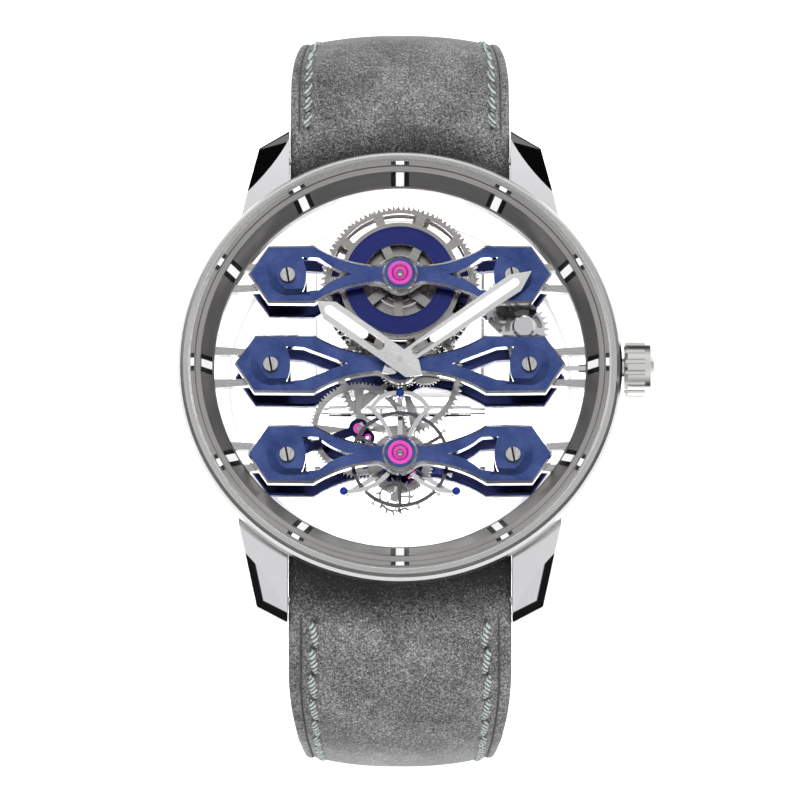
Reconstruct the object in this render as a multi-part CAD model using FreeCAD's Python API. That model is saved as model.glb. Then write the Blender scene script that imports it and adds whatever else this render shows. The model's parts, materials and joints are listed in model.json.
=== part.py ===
"""A skeleton tourbillon wristwatch on a leather strap, one STEP file per piece.

Frame: +Z out of the dial, +Y towards 12 o'clock, +X towards 3 o'clock and the crown.
Origin: centre of the flat case-back face. All sizes in millimetres.
"""
import FreeCAD, Part
import math
import os

from FreeCAD import Vector

# ---------------------------------------------------------------- case
BEZEL_R = 22.0
CASE_R = 20.6
CASE_BORE_R = 18.6
CASE_TOP_Z = 6.8
BACK_RING_T = 1.4
BACK_RING_R = 19.4
BACK_GLASS_R = 16.8
FLANGE_TOP_Z = 10.0
FLANGE_R = 20.72
FLANGE_BORE_R = 18.4
CRYSTAL_R = 20.97
CRYSTAL_SEAT_Z = 8.95
CRYSTAL_TOP_Z = 12.7
CRYSTAL_T = 0.9
MARKER_STEPS = 12
LUME_W = 0.8
MARKER_SIDE_W = 0.5

TUBE_R = 1.2
TUBE_BORE_R = 0.52
TUBE_INNER_X = 19.4
STEM_Z = 7.4
STEM_R = 0.45
CROWN_INNER_X = 22.15
CROWN_OUTER_X = 25.1
CROWN_R = 2.85

# ---------------------------------------------------------------- lugs and strap
STRAP_W = 22.0
LUG_GAP = 0.1
LUG_TIP = (25.25, 5.1)
LUG_CORNER = (14.12, 23.6)
LUG_ROOT = (15.95, 15.5)
LUG_FACET_START_Y = 18.5
LUG_FACET_DROP = 0.9
BAR_Y = 22.7
BAR_Z = 3.2
BAR_R = 0.75
BAR_TIP_R = 0.4
STRAP_T = 3.6
SHOULDER_12_R = 12.5
SHOULDER_6_R = 9.5
SHOULDER_FROM_BAR = 2.2
LOOP_12_R = 40.0
LOOP_12_END_DEG = 66.0
STRAP_MID_HALF_W = 9.55
STRAP_END_HALF_W = 9.0

# ---------------------------------------------------------------- clasp
CLASP_R = 32.0
CHEEK_IN = 9.1
CHEEK_OUT = 9.9
BLADE_HALF_W = 7.6
CLASP_PIN_R = 0.35
BUTTON_DEG = 6.0
BUTTON_CLASP_R = 31.2
BUTTON_R = 0.95
BUTTON_PROUD = 0.8
LONG_HINGE_DEG = 18.5
LONG_HINGE_R = 31.55
SHORT_HINGE_DEG = -15.2
SHORT_HINGE_R = 30.9

# ---------------------------------------------------------------- movement levels
REAR_Z = 3.5
REAR_T = 0.9
FRONT_Z = 8.4
FRONT_T = 1.0
BRIDGE_PITCH = 9.2
BEVEL = 0.22
JEWEL_R = 1.2
PIVOT_R = 0.22
PIVOT_HOLE_R = 0.25
PILLAR_R = 0.95
POCKET_DEPTH = 0.42
POCKET_INSET = 0.35
POCKET_FLARE = 0.45
SUPPORT_Z = 7.1
COCK_Z = 5.5
COCK_T = 0.3
COCK_FOOT_X = -9.9
COCK_FOOT_Y = -8.0
COCK_JEWEL_R = 0.55
SECOND_JEWEL_R = 0.4
REAR_JEWEL_R = 0.9
COCK_SECOND_DX = 0.85
COCK_SECOND_DY = -0.95
RUN_GAP = 0.05

# ---------------------------------------------------------------- going train
BARREL_MODULE = 0.16
BARREL_TEETH = 95
CENTRE_PINION_TEETH = 20
CENTRE_MODULE = 14.0 / 85.0
CENTRE_TEETH = 75
THIRD_PINION_TEETH = 10
THIRD_MODULE = 10.78 / 90.0
THIRD_TEETH = 80
CAGE_PINION_TEETH = 10
WINDING_MODULE = 0.2
RATCHET_TEETH = 78
TRANSMISSION_TEETH = 16
CROWN_WHEEL_TEETH = 24
CROWN_WHEEL_X = 12.3
CROWN_WHEEL_Y = 4.7
RATCHET_Z = 5.2
WHEEL_T = 0.35
DRUM_Z = 5.75
DRUM_R = 5.7
DRUM_TOP_Z = 7.05
BARREL_GEAR_Z = 6.5
ARBOR_R = 0.45
ROTOR_Z = 2.05
STEM_SQUARE_HALF = 0.24
WINDING_PINION_X = 14.4
WINDING_PINION_TEETH = 12
WINDING_PINION_MODULE = 0.12

# ---------------------------------------------------------------- hands
HOUR_ANGLE = 144.0
MINUTE_ANGLE = 35.3
HOUR_LENGTH = 10.2
MINUTE_LENGTH = 16.0
MINUTE_HAND_Z = 10.1
HOUR_HAND_Z = 10.7
HAND_T = 0.32
MOTION_DISTANCE = 2.5
CANNON_TEETH = 12
MINUTE_WHEEL_TEETH = 36
MINUTE_PINION_TEETH = 10
HOUR_WHEEL_TEETH = 40
CANNON_MODULE = MOTION_DISTANCE * 2 / (CANNON_TEETH + MINUTE_WHEEL_TEETH)
HOUR_MODULE = MOTION_DISTANCE * 2 / (MINUTE_PINION_TEETH + HOUR_WHEEL_TEETH)
MOTION_POST_R = 0.3
HOUR_WHEEL_Z = 7.3
CANNON_Z = 7.8
PIPE_R = 0.7
PIPE_BORE_R = 0.42
LUME_T = 0.2

# ---------------------------------------------------------------- tourbillon
CAGE_Y = -BRIDGE_PITCH
BALANCE_R = 4.9
BALANCE_Z = 6.9
CAGE_BASE_Z = 5.95
CAGE_TOP_Z = 7.75
CAGE_ARM_ANGLES = (90.0, 212.0, 328.0)
CAGE_ARM_R = 6.55
FOURTH_MODULE = 0.1
FOURTH_TEETH = 64
FOURTH_Z = 5.5
ESCAPE_PINION_TEETH = 8
ESCAPE_R = 2.0
ESCAPE_Z = 6.15
ESCAPE_DEG = 262.0
FORK_FROM_AXIS = 1.75
FORK_DEG = 318.0
ESCAPE_ARBOR_R = 0.18
FORK_ARBOR_R = 0.14
HAIRSPRING_Z = 7.45

UP = Vector(0, 0, 1)
ACROSS = Vector(1, 0, 0)
ALONG = Vector(0, 1, 0)
os.makedirs("parts", exist_ok=True)


# ================================================================ helpers
def cylinder(radius, height, x=0.0, y=0.0, z=0.0, axis=UP):
    """Solid cylinder standing on the point (x, y, z)."""
    return Part.makeCylinder(radius, height, Vector(x, y, z), axis)


def ring(outer, inner, height, x=0.0, y=0.0, z=0.0, axis=UP):
    """Tube of the two radii."""
    base = cylinder(outer, height, x, y, z, axis)
    return base.cut(cylinder(inner, height, x, y, z, axis))


def box(x0, x1, y0, y1, z0, z1):
    """Block between two corners."""
    return Part.makeBox(x1 - x0, y1 - y0, z1 - z0, Vector(x0, y0, z0))


def revolved(profile):
    """Solid of revolution about Z of a closed (radius, height) outline."""
    points = [Vector(r, 0, z) for r, z in profile]
    face = Part.Face(Part.makePolygon(points + points[:1]))
    return face.revolve(Vector(0, 0, 0), UP, 360)


def outline_wire(spans):
    """Closed wire from spans: two points make a line, three make an arc."""
    edges = []
    for span in spans:
        points = [Vector(x, y, 0) for x, y in span]
        if len(points) == 2:
            edges.append(Part.LineSegment(*points).toShape())
        else:
            edges.append(Part.Arc(*points).toShape())
    return Part.Wire(Part.__sortEdges__(edges))


def polygon_wire(points):
    """Closed wire through (x, y) points."""
    corners = [Vector(x, y, 0) for x, y in points]
    return Part.makePolygon(corners + corners[:1])


def circle_wire(radius, x=0.0, y=0.0):
    """Circular wire in the plane z = 0."""
    return Part.Wire(Part.makeCircle(radius, Vector(x, y, 0)))


def plate(wires, z, thickness):
    """Flat plate of an outer wire less any inner wires."""
    face = Part.makeFace(wires, "Part::FaceMakerBullseye")
    solid = face.extrude(Vector(0, 0, thickness))
    solid.translate(Vector(0, 0, z))
    return solid


def polar(radius, degrees, x=0.0, y=0.0):
    """Point at a radius and angle from a centre."""
    angle = math.radians(degrees)
    return (x + radius * math.cos(angle), y + radius * math.sin(angle))


def moved(shape, x=0.0, y=0.0, z=0.0):
    """Copy of a shape, shifted."""
    copy = shape.copy()
    copy.translate(Vector(x, y, z))
    return copy


def turned(shape, degrees, x=0.0, y=0.0):
    """Copy of a shape, turned about a vertical axis."""
    copy = shape.copy()
    copy.rotate(Vector(x, y, 0), UP, degrees)
    return copy


def mirrored(shape, normal):
    """Copy of a shape, mirrored in a plane through the origin."""
    return shape.mirror(Vector(0, 0, 0), normal)


def joined(shapes):
    """One solid from touching or overlapping shapes."""
    return shapes[0].multiFuse(shapes[1:]).removeSplitter()


def group(shapes):
    """Separate solids held in one node."""
    return Part.makeCompound(shapes)


def sector_wire(r_in, r_out, start, end):
    """Window between two radii and two angles."""
    middle = (start + end) / 2
    return outline_wire([
        (polar(r_in, start), polar(r_in, middle), polar(r_in, end)),
        (polar(r_in, end), polar(r_out, end)),
        (polar(r_out, end), polar(r_out, middle), polar(r_out, start)),
        (polar(r_out, start), polar(r_in, start)),
    ])


def tooth_wire(teeth, pitch_r, module, turn=0.0):
    """Gear outline with flat-sided teeth that run with backlash."""
    root_r = pitch_r - 1.25 * module
    tip_r = pitch_r + 0.85 * module
    step = 360.0 / teeth
    points = []
    for index in range(teeth):
        centre = turn + index * step
        points.append(polar(root_r, centre - 0.30 * step))
        points.append(polar(tip_r, centre - 0.11 * step))
        points.append(polar(tip_r, centre + 0.11 * step))
        points.append(polar(root_r, centre + 0.30 * step))
    return polygon_wire(points)


def spoked_gear(teeth, module, thickness, bore, rim_r, hub_r, spokes, turn=0.0, spoke_deg=14.0):
    """Gear with windows between its spokes, at the origin."""
    step = 360.0 / spokes
    windows = [
        sector_wire(hub_r, rim_r, i * step + spoke_deg / 2, (i + 1) * step - spoke_deg / 2)
        for i in range(spokes)
    ]
    hole = [circle_wire(bore)] if bore else []
    pitch_r = teeth * module / 2
    return plate([tooth_wire(teeth, pitch_r, module, turn)] + windows + hole, 0, thickness)


def pinion(teeth, module, thickness, bore=0.0, turn=0.0):
    """Small solid gear at the origin."""
    hole = [circle_wire(bore)] if bore else []
    pitch_r = teeth * module / 2
    return plate([tooth_wire(teeth, pitch_r, module, turn)] + hole, 0, thickness)


def mesh_turn(teeth, from_point, to_point, other_turn, other_teeth):
    """Turn of a gear at to_point so that its teeth fall in the gaps of the one at from_point."""
    line = math.degrees(math.atan2(to_point[1] - from_point[1], to_point[0] - from_point[0]))
    other_phase = (line - other_turn) / (360.0 / other_teeth)
    return line + 180.0 + (other_phase + 0.5) * 360.0 / teeth


def apart(centre_a, radius_a, centre_b, radius_b, side):
    """Point at two given distances from two centres, on the chosen side of their line."""
    dx = centre_b[0] - centre_a[0]
    dy = centre_b[1] - centre_a[1]
    span = math.hypot(dx, dy)
    along = (radius_a ** 2 - radius_b ** 2 + span ** 2) / (2 * span)
    off = side * math.sqrt(radius_a ** 2 - along ** 2)
    return (centre_a[0] + (along * dx - off * dy) / span,
            centre_a[1] + (along * dy + off * dx) / span)


def slotted_screw(head_r, head_t, shank_r, shank_l, slot_w, x, y, z, slot_turn=0.0):
    """Cheese-head screw whose head stands on z, its shank below."""
    head = cylinder(head_r, head_t, x, y, z)
    head = head.makeChamfer(0.06, [head.Edges[0]])
    slot = box(-head_r, head_r, -slot_w / 2, slot_w / 2, z + 0.55 * head_t, z + head_t)
    slot = moved(turned(slot, slot_turn), x, y)
    shank = cylinder(shank_r, shank_l, x, y, z - shank_l)
    return joined([head.cut(slot), shank])


# ================================================================ derived places
BARREL_AT = (0.0, BRIDGE_PITCH)
CENTRE_AT = (0.0, 0.0)
CAGE_AT = (0.0, CAGE_Y)
CENTRE_TO_THIRD = CENTRE_MODULE * (CENTRE_TEETH + THIRD_PINION_TEETH) / 2
THIRD_TO_CAGE = THIRD_MODULE * (THIRD_TEETH + CAGE_PINION_TEETH) / 2
THIRD_AT = apart(CENTRE_AT, CENTRE_TO_THIRD, CAGE_AT, THIRD_TO_CAGE, -1)
CROWN_WHEEL_AT = (CROWN_WHEEL_X, CROWN_WHEEL_Y)
TRANSMISSION_AT = apart(
    BARREL_AT, WINDING_MODULE * (RATCHET_TEETH + TRANSMISSION_TEETH) / 2,
    CROWN_WHEEL_AT, WINDING_MODULE * (TRANSMISSION_TEETH + CROWN_WHEEL_TEETH) / 2, 1)
TRANSMISSION_TURN = mesh_turn(TRANSMISSION_TEETH, BARREL_AT, TRANSMISSION_AT, 0, RATCHET_TEETH)
CROWN_WHEEL_TURN = mesh_turn(
    CROWN_WHEEL_TEETH, TRANSMISSION_AT, CROWN_WHEEL_AT, TRANSMISSION_TURN, TRANSMISSION_TEETH)
CENTRE_PINION_TURN = mesh_turn(CENTRE_PINION_TEETH, BARREL_AT, CENTRE_AT, 0, BARREL_TEETH)
THIRD_PINION_TURN = mesh_turn(THIRD_PINION_TEETH, CENTRE_AT, THIRD_AT, 0, CENTRE_TEETH)
CAGE_PINION_TURN = mesh_turn(CAGE_PINION_TEETH, THIRD_AT, CAGE_AT, 0, THIRD_TEETH)
CAGE_TO_ESCAPE = FOURTH_MODULE * (FOURTH_TEETH + ESCAPE_PINION_TEETH) / 2
ESCAPE_AT = polar(CAGE_TO_ESCAPE, ESCAPE_DEG, *CAGE_AT)
ESCAPE_TURN = mesh_turn(ESCAPE_PINION_TEETH, CAGE_AT, ESCAPE_AT, 0, FOURTH_TEETH)
FORK_AT = polar(FORK_FROM_AXIS, FORK_DEG, *CAGE_AT)
STRAP_END_AT = polar(
    LOOP_12_R, -LOOP_12_END_DEG,
    BAR_Y + SHOULDER_FROM_BAR + SHOULDER_12_R - LOOP_12_R,
    BAR_Z - math.sqrt(SHOULDER_12_R ** 2 - SHOULDER_FROM_BAR ** 2))
CLASP_AT_Z = STRAP_END_AT[1] + math.sqrt(CLASP_R ** 2 - STRAP_END_AT[0] ** 2)
CLASP_END_DEG = math.degrees(math.asin(STRAP_END_AT[0] / CLASP_R))


# ================================================================ case
def lug():
    """Upper right lug: a horn beside the strap, undercut below its tip and cut to its plan."""
    root_z = CASE_TOP_Z - 0.2
    tip_y, tip_z = LUG_TIP
    side = outline_wire([
        ((12.0, root_z), (16.5, root_z)),
        ((16.5, root_z), (21.8, root_z - 0.45), (tip_y - 0.3, tip_z + 0.35)),
        ((tip_y - 0.3, tip_z + 0.35), (tip_y - 0.04, tip_z + 0.22), (tip_y, tip_z)),
        ((tip_y, tip_z), (24.6, 2.6)),
        ((24.6, 2.6), (24.0, 1.2), (22.8, 0.6)),
        ((22.8, 0.6), (19.5, 0.9), (17.0, 1.0)),
        ((17.0, 1.0), (12.0, 1.0)),
        ((12.0, 1.0), (12.0, root_z)),
    ])
    horn = Part.Face(side).extrude(Vector(0, 0, 8.0))
    horn.rotate(Vector(0, 0, 0), ACROSS, 90)
    horn.rotate(Vector(0, 0, 0), UP, 90)
    horn.translate(Vector(10.0, 0, 0))
    inner = STRAP_W / 2 + LUG_GAP
    plan = polygon_wire([
        (inner, 12.0), (inner, tip_y + 0.05), LUG_CORNER, LUG_ROOT, (LUG_ROOT[0], 12.0)])
    return horn.common(plate([plan], -1.0, 10.0))


def lug_with_bevel():
    """The lug with a wedge off its outer corner, narrowing to nothing along the edge and the tip."""
    inner = STRAP_W / 2 + LUG_GAP
    share = (LUG_FACET_START_Y - LUG_ROOT[1]) / (LUG_CORNER[1] - LUG_ROOT[1])
    start_x = LUG_ROOT[0] + share * (LUG_CORNER[0] - LUG_ROOT[0])
    start = Vector(start_x, LUG_FACET_START_Y, CASE_TOP_Z - 0.25)
    tip = Vector(inner, LUG_TIP[0] - 0.12, LUG_TIP[1] + 0.2)
    corner = Vector(*LUG_CORNER, LUG_TIP[1] + 0.65 - LUG_FACET_DROP)
    along = (tip - start).normalize()
    outward = (corner - start).cross(tip - start).normalize()
    sideways = outward.cross(along)
    corners = [
        start + along * a + sideways * b
        for a, b in ((-6.0, -9.0), (16.0, -9.0), (16.0, 9.0), (-6.0, 9.0), (-6.0, -9.0))]
    wedge = Part.Face(Part.makePolygon(corners)).extrude(outward * 6.0)
    return lug().cut(wedge)


def tube_hole():
    """Stepped hole for the crown tube and, inside it, for the stem."""
    outer = cylinder(TUBE_R, 4.0, TUBE_INNER_X, 0, STEM_Z, ACROSS)
    return joined([outer, cylinder(TUBE_BORE_R, 4.0, 17.0, 0, STEM_Z, ACROSS)])


def case_middle():
    """Case band with four lugs, bored for the movement, the crown tube and the spring bars."""
    band = revolved([
        (CASE_BORE_R, BACK_RING_T), (BACK_RING_R, BACK_RING_T), (CASE_R, 2.2), (CASE_R, CASE_TOP_Z),
        (CASE_BORE_R, CASE_TOP_Z)])
    upper_right = lug_with_bevel()
    upper_left = mirrored(upper_right, ACROSS)
    lugs = [upper_right, upper_left, mirrored(upper_right, ALONG), mirrored(upper_left, ALONG)]
    room = joined([
        cylinder(CASE_BORE_R + 0.4, 12.0, 0, 0, -1.0),
        cylinder(BACK_RING_R, BACK_RING_T + 1.0, 0, 0, -1.0)])
    horns = [piece.cut(room) for piece in lugs]
    body = joined([band] + horns)
    body = body.cut(tube_hole())
    for y in (BAR_Y, -BAR_Y):
        hole = cylinder(BAR_TIP_R + RUN_GAP, 2 * 12.2, -12.2, y, BAR_Z, ACROSS)
        body = body.cut(hole)
    return body


def bezel():
    """Sloping rim that holds the crystal."""
    rim = revolved([
        (FLANGE_R, CASE_TOP_Z), (21.3, CASE_TOP_Z), (BEZEL_R, 7.6), (BEZEL_R, 8.9),
        (21.75, 9.35), (21.45, 9.62), (21.0, 9.75), (21.0, 8.7), (FLANGE_R, 8.7)])
    return rim.cut(tube_hole())


def flange_ring():
    """Two-tier inner ring: a flat outer tier, a step and a sloped inner tier."""
    tiers = revolved([
        (FLANGE_BORE_R, CASE_TOP_Z), (FLANGE_R, CASE_TOP_Z), (FLANGE_R, FLANGE_TOP_Z),
        (20.3, FLANGE_TOP_Z), (20.22, 9.85), (19.72, 9.8), (19.62, 9.68),
        (18.55, 8.32), (FLANGE_BORE_R, 8.2)])
    return tiers.cut(tube_hole())


def marker_bar(across, width, r_in, r_out, z_in, z_out, height):
    """Radial bar at 3 o'clock whose top keeps a height over the line between its two ends."""
    side = Part.makePolygon([
        Vector(r_in, 0, z_in - 0.1), Vector(r_out, 0, z_out - 0.1), Vector(r_out, 0, z_out + height),
        Vector(r_in, 0, z_in + height), Vector(r_in, 0, z_in - 0.1)])
    bar = Part.Face(side).extrude(Vector(0, width, 0))
    return moved(bar, y=across - width / 2)


def markers(bed):
    """Hour markers on both tiers of the ring: a luminous bar between two dark blocks."""
    tiers = [
        (20.34, 20.68, FLANGE_TOP_Z, FLANGE_TOP_Z, 0.08),
        (18.58, 19.6, 8.358, 9.655, 0.1),
    ]
    holders = []
    lume = []
    offset = (LUME_W + MARKER_SIDE_W) / 2
    for r_in, r_out, z_in, z_out, height in tiers:
        for step in range(MARKER_STEPS):
            angle = step * 360.0 / MARKER_STEPS
            bar = marker_bar(0, LUME_W, r_in, r_out, z_in, z_out, height + 0.04)
            lume.append(turned(bar, angle).cut(bed))
            for side in (-1, 1):
                block = marker_bar(side * offset, MARKER_SIDE_W, r_in, r_out, z_in, z_out, height)
                holders.append(turned(block, angle).cut(bed))
    return group(holders), group(lume)


def dome_arc(edge_r, edge_z, top_z):
    """Arc of a sphere centred on Z, from its edge to its top."""
    drop = top_z - edge_z
    radius = (edge_r ** 2 + drop ** 2) / (2 * drop)
    half = math.asin(edge_r / radius) / 2
    middle = (radius * math.sin(half), top_z - radius + radius * math.cos(half))
    return ((edge_r, edge_z), middle, (0, top_z))


def crystal():
    """Box-shaped domed crystal over the dial."""
    wall_r = FLANGE_R + 0.02
    rim_z = FLANGE_TOP_Z + 0.9
    spans = [
        ((wall_r, CRYSTAL_SEAT_Z), (CRYSTAL_R, CRYSTAL_SEAT_Z)),
        ((CRYSTAL_R, CRYSTAL_SEAT_Z), (CRYSTAL_R, rim_z)),
        ((CRYSTAL_R, rim_z), (20.75, rim_z + 0.55), (20.1, rim_z + 0.85)),
        dome_arc(20.1, rim_z + 0.85, CRYSTAL_TOP_Z),
        ((0, CRYSTAL_TOP_Z), (0, CRYSTAL_TOP_Z - CRYSTAL_T)),
        dome_arc(19.8, rim_z + 0.05, CRYSTAL_TOP_Z - CRYSTAL_T),
        ((19.8, rim_z + 0.05), (20.45, rim_z - 0.1), (wall_r, rim_z - 0.5)),
        ((wall_r, rim_z - 0.5), (wall_r, CRYSTAL_SEAT_Z)),
    ]
    wire = outline_wire(spans)
    wire.rotate(Vector(0, 0, 0), ACROSS, 90)
    return Part.Face(wire).revolve(Vector(0, 0, 0), UP, 360)


def case_gaskets():
    """Seals under the crystal and round the back glass."""
    upper = ring(20.98, FLANGE_R + 0.01, CRYSTAL_SEAT_Z - 8.7, z=8.7)
    lower = ring(BACK_GLASS_R + 0.3, BACK_GLASS_R, 1.0, z=0.2)
    return group([upper, lower])


def case_back_ring():
    """Screwed back ring round the display glass, with six key notches."""
    body = revolved([
        (BACK_GLASS_R + 0.3, 0), (BACK_RING_R - 0.5, 0), (BACK_RING_R, 0.4),
        (BACK_RING_R, BACK_RING_T),
        (BACK_GLASS_R + 0.3, BACK_RING_T)])
    notch = box(18.0, 20.0, -0.8, 0.8, 0, 0.5)
    for step in range(6):
        body = body.cut(turned(notch, 30 + 60 * step))
    return body


def case_back_crystal():
    """Flat display glass, flush with the back ring."""
    glass = cylinder(BACK_GLASS_R, 1.2)
    return glass


# ================================================================ bridges
def mirrored_spans(spans, flip_x, flip_y):
    """Spans reflected left to right or top to bottom."""
    sign_x = -1 if flip_x else 1
    sign_y = -1 if flip_y else 1
    return [tuple((sign_x * x, sign_y * y) for x, y in span) for span in spans]


def bridge_outline(tip_x, shoulder_x, boss_r, grow=0.0):
    """Arrow-headed bridge: round boss, narrow necks and pointed heads."""
    shoulder_y = 2.95 + grow
    neck_y = 1.02 + grow
    boss = boss_r + grow
    start = (boss * math.sin(math.radians(42)), boss * math.cos(math.radians(42)))
    quarter = [
        ((0, boss), polar(boss, 69), start),
        (start, (start[0] + 0.55, neck_y + 0.08), (2.9, neck_y)),
        ((2.9, neck_y), (5.75, neck_y + 0.62), (8.5, shoulder_y + 0.05)),
        ((8.5, shoulder_y + 0.05), (shoulder_x, shoulder_y)),
        ((shoulder_x, shoulder_y), (tip_x + grow, 0)),
    ]
    spans = []
    for flip_x in (False, True):
        for flip_y in (False, True):
            spans += mirrored_spans(quarter, flip_x, flip_y)
    return outline_wire(spans)


def head_opening(inner_x, floor_x):
    """Eye-shaped window between the rails of a bridge head, closed by the round end of the floor."""
    rail_y = 1.78
    corner = (floor_x + 0.3, rail_y)
    half = [
        ((inner_x, 0), (inner_x + 2.2, 0.83), (floor_x - 1.4, rail_y - 0.12)),
        ((floor_x - 1.4, rail_y - 0.12), corner),
    ]
    end = (corner, (floor_x - 0.1, 0), (corner[0], -rail_y))
    return outline_wire(half + mirrored_spans(half, False, True) + [end])


def head_pocket(floor_x, screw_x, grow):
    """Outline of the recess round the screw of a bridge head; its wall slopes outward."""
    start = (floor_x - 0.45, 1.68 + grow)
    crown = (screw_x + 0.1, 1.78 + grow)
    end_x = screw_x + 1.5 + grow
    half = [
        (start, crown),
        (crown, (screw_x + 1.14 + grow, 1.05 + 0.7 * grow), (end_x, 0)),
    ]
    return outline_wire(
        half + mirrored_spans(half, False, True) + [(start, (start[0], -start[1]))])


def bevelled(body, top_z, size):
    """Chamfer all the edges of the top face."""
    edges = [
        edge for edge in body.Edges
        if abs(edge.BoundBox.ZMin - top_z) < 1e-6 and abs(edge.BoundBox.ZMax - top_z) < 1e-6]
    return body.makeChamfer(size, edges)


BRIDGES = {
    "upper": {"y": BRIDGE_PITCH, "tip": 15.1, "shoulder": 13.05, "screw": 11.15, "floor": 9.4,
              "eye": 4.7, "boss": 1.95},
    "middle": {"y": 0.0, "tip": 16.4, "shoulder": 14.4, "screw": 12.8, "floor": 10.95,
               "eye": 5.2, "boss": 1.95},
    "lower": {"y": -BRIDGE_PITCH, "tip": 15.1, "shoulder": 13.05, "screw": 11.15, "floor": 9.4,
              "eye": 4.7, "boss": 1.95},
}


def bridge_blank(spec, z, thickness):
    """Bevelled bridge with its two windows, centred on its own boss."""
    outer = bridge_outline(spec["tip"], spec["shoulder"], spec["boss"])
    inner = bridge_outline(spec["tip"], spec["shoulder"], spec["boss"], -BEVEL)
    lower = plate([outer], z, thickness - BEVEL)
    outer.translate(Vector(0, 0, z + thickness - BEVEL))
    inner.translate(Vector(0, 0, z + thickness))
    slope = Part.makeLoft([outer, inner], True, True)
    body = joined([lower, slope])
    window = plate([head_opening(spec["eye"], spec["floor"])], z - 1, thickness + 2)
    body = body.cut(window)
    return body.cut(mirrored(window, ACROSS))


def front_bridge(name):
    """Front bridge with pockets, screw holes and a raised jewel boss."""
    spec = BRIDGES[name]
    top = FRONT_Z + FRONT_T
    body = bridge_blank(spec, FRONT_Z, FRONT_T)
    low = head_pocket(spec["floor"], spec["screw"], -POCKET_INSET)
    high = head_pocket(spec["floor"], spec["screw"], POCKET_FLARE)
    low.translate(Vector(0, 0, top - POCKET_DEPTH))
    high.translate(Vector(0, 0, top + 0.01))
    pocket = Part.makeLoft([low, high], True, True)
    for cutter in (pocket, mirrored(pocket, ACROSS)):
        body = body.cut(cutter)
    for side in (-1, 1):
        body = body.cut(cylinder(0.45, 3, side * spec["screw"], 0, FRONT_Z - 1))
    if name == "middle":
        post = cylinder(MOTION_POST_R, 1.2, MOTION_DISTANCE, 0, FRONT_Z - 1.2)
        body = joined([body, post]).cut(cylinder(0.85, 3, 0, 0, FRONT_Z - 1))
    else:
        boss = bevelled(cylinder(1.75, 0.95, 0, 0, top - 0.45), top + 0.5, 0.2)
        seat = cylinder(JEWEL_R, 3, 0, 0, FRONT_Z + 0.2)
        bore = cylinder(0.6, 3, 0, 0, FRONT_Z - 1)
        body = joined([body, boss]).cut(seat).cut(bore)
    return moved(body, 0, spec["y"])


def rear_bridge(name):
    """Rear bridge with a jewel hole at its boss."""
    spec = BRIDGES[name]
    body = bridge_blank(spec, REAR_Z, REAR_T)
    body = body.cut(cylinder(REAR_JEWEL_R, 3, 0, 0, REAR_Z - 1))
    if name == "upper":
        bearing = ring(1.1, REAR_JEWEL_R, 0.4, z=REAR_Z - 0.4)
        body = joined([body, bearing])
    return moved(body, 0, spec["y"])


def screw_places():
    """Both screw axes of each bridge."""
    return [(side * spec["screw"], spec["y"]) for spec in BRIDGES.values() for side in (-1, 1)]


def bridge_pillars():
    """Posts that hold each front bridge over its rear bridge."""
    posts = []
    for x, y in screw_places():
        post = cylinder(PILLAR_R, FRONT_Z - REAR_Z - REAR_T, x, y, REAR_Z + REAR_T)
        posts.append(post.cut(cylinder(0.42, 2.2, x, y, FRONT_Z - 2.2)))
    return group(posts)


def bridge_screws():
    """Slotted screws in the bridge pockets."""
    floor_z = FRONT_Z + FRONT_T - POCKET_DEPTH
    return group([
        slotted_screw(0.78, 0.36, 0.38, 2.4, 0.2, x, y, floor_z, 100)
        for x, y in screw_places()])


def jewel(x, y, z, thickness, radius=JEWEL_R, hole=PIVOT_HOLE_R):
    """Pierced jewel with a dished top."""
    body = ring(radius, hole, thickness, x, y, z)
    dish = Part.makeSphere(radius, Vector(x, y, z + thickness + 0.72 * radius))
    return body.cut(dish)


def front_jewels():
    """Jewels in the upper and lower bosses."""
    return group([jewel(0, y, FRONT_Z + 0.2, 1.35) for y in (BRIDGE_PITCH, -BRIDGE_PITCH)])


def rear_jewels():
    """Jewels of the rear bridges and the third-wheel cock."""
    z = REAR_Z + 0.2
    pieces = [ring(REAR_JEWEL_R, PIVOT_HOLE_R, 0.5, 0, y, z) for y in (0, CAGE_Y)]
    pieces.append(ring(REAR_JEWEL_R, ARBOR_R + RUN_GAP, 0.5, 0, BRIDGE_PITCH, z))
    x, y = THIRD_AT
    pieces.append(ring(COCK_JEWEL_R, PIVOT_HOLE_R, COCK_T, x, y, COCK_Z))
    pieces.append(ring(SECOND_JEWEL_R, 0.15, COCK_T, x + COCK_SECOND_DX, y + COCK_SECOND_DY, COCK_Z))
    return group(pieces)


def third_wheel_cock():
    """Small jewelled bridge over the third wheel, on a post of the lower rear bridge."""
    x, y = THIRD_AT
    angle = math.degrees(math.atan2(COCK_FOOT_Y - y, COCK_FOOT_X - x))
    length = math.hypot(COCK_FOOT_X - x, COCK_FOOT_Y - y)
    arm = moved(turned(box(0, length, -0.45, 0.45, COCK_Z, COCK_Z + COCK_T), angle), x, y)
    second_x = x + COCK_SECOND_DX
    second_y = y + COCK_SECOND_DY
    pads = [(x, y, 1.0), (second_x, second_y, 0.75), (COCK_FOOT_X, COCK_FOOT_Y, 0.6)]
    post_z = REAR_Z + REAR_T
    post = cylinder(0.5, COCK_Z - post_z, COCK_FOOT_X, COCK_FOOT_Y, post_z)
    body = joined([arm, post] + [cylinder(r, COCK_T, px, py, COCK_Z) for px, py, r in pads])
    body = body.cut(cylinder(COCK_JEWEL_R, 2, x, y, COCK_Z - 1))
    return body.cut(cylinder(SECOND_JEWEL_R, 2, second_x, second_y, COCK_Z - 1))


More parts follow.
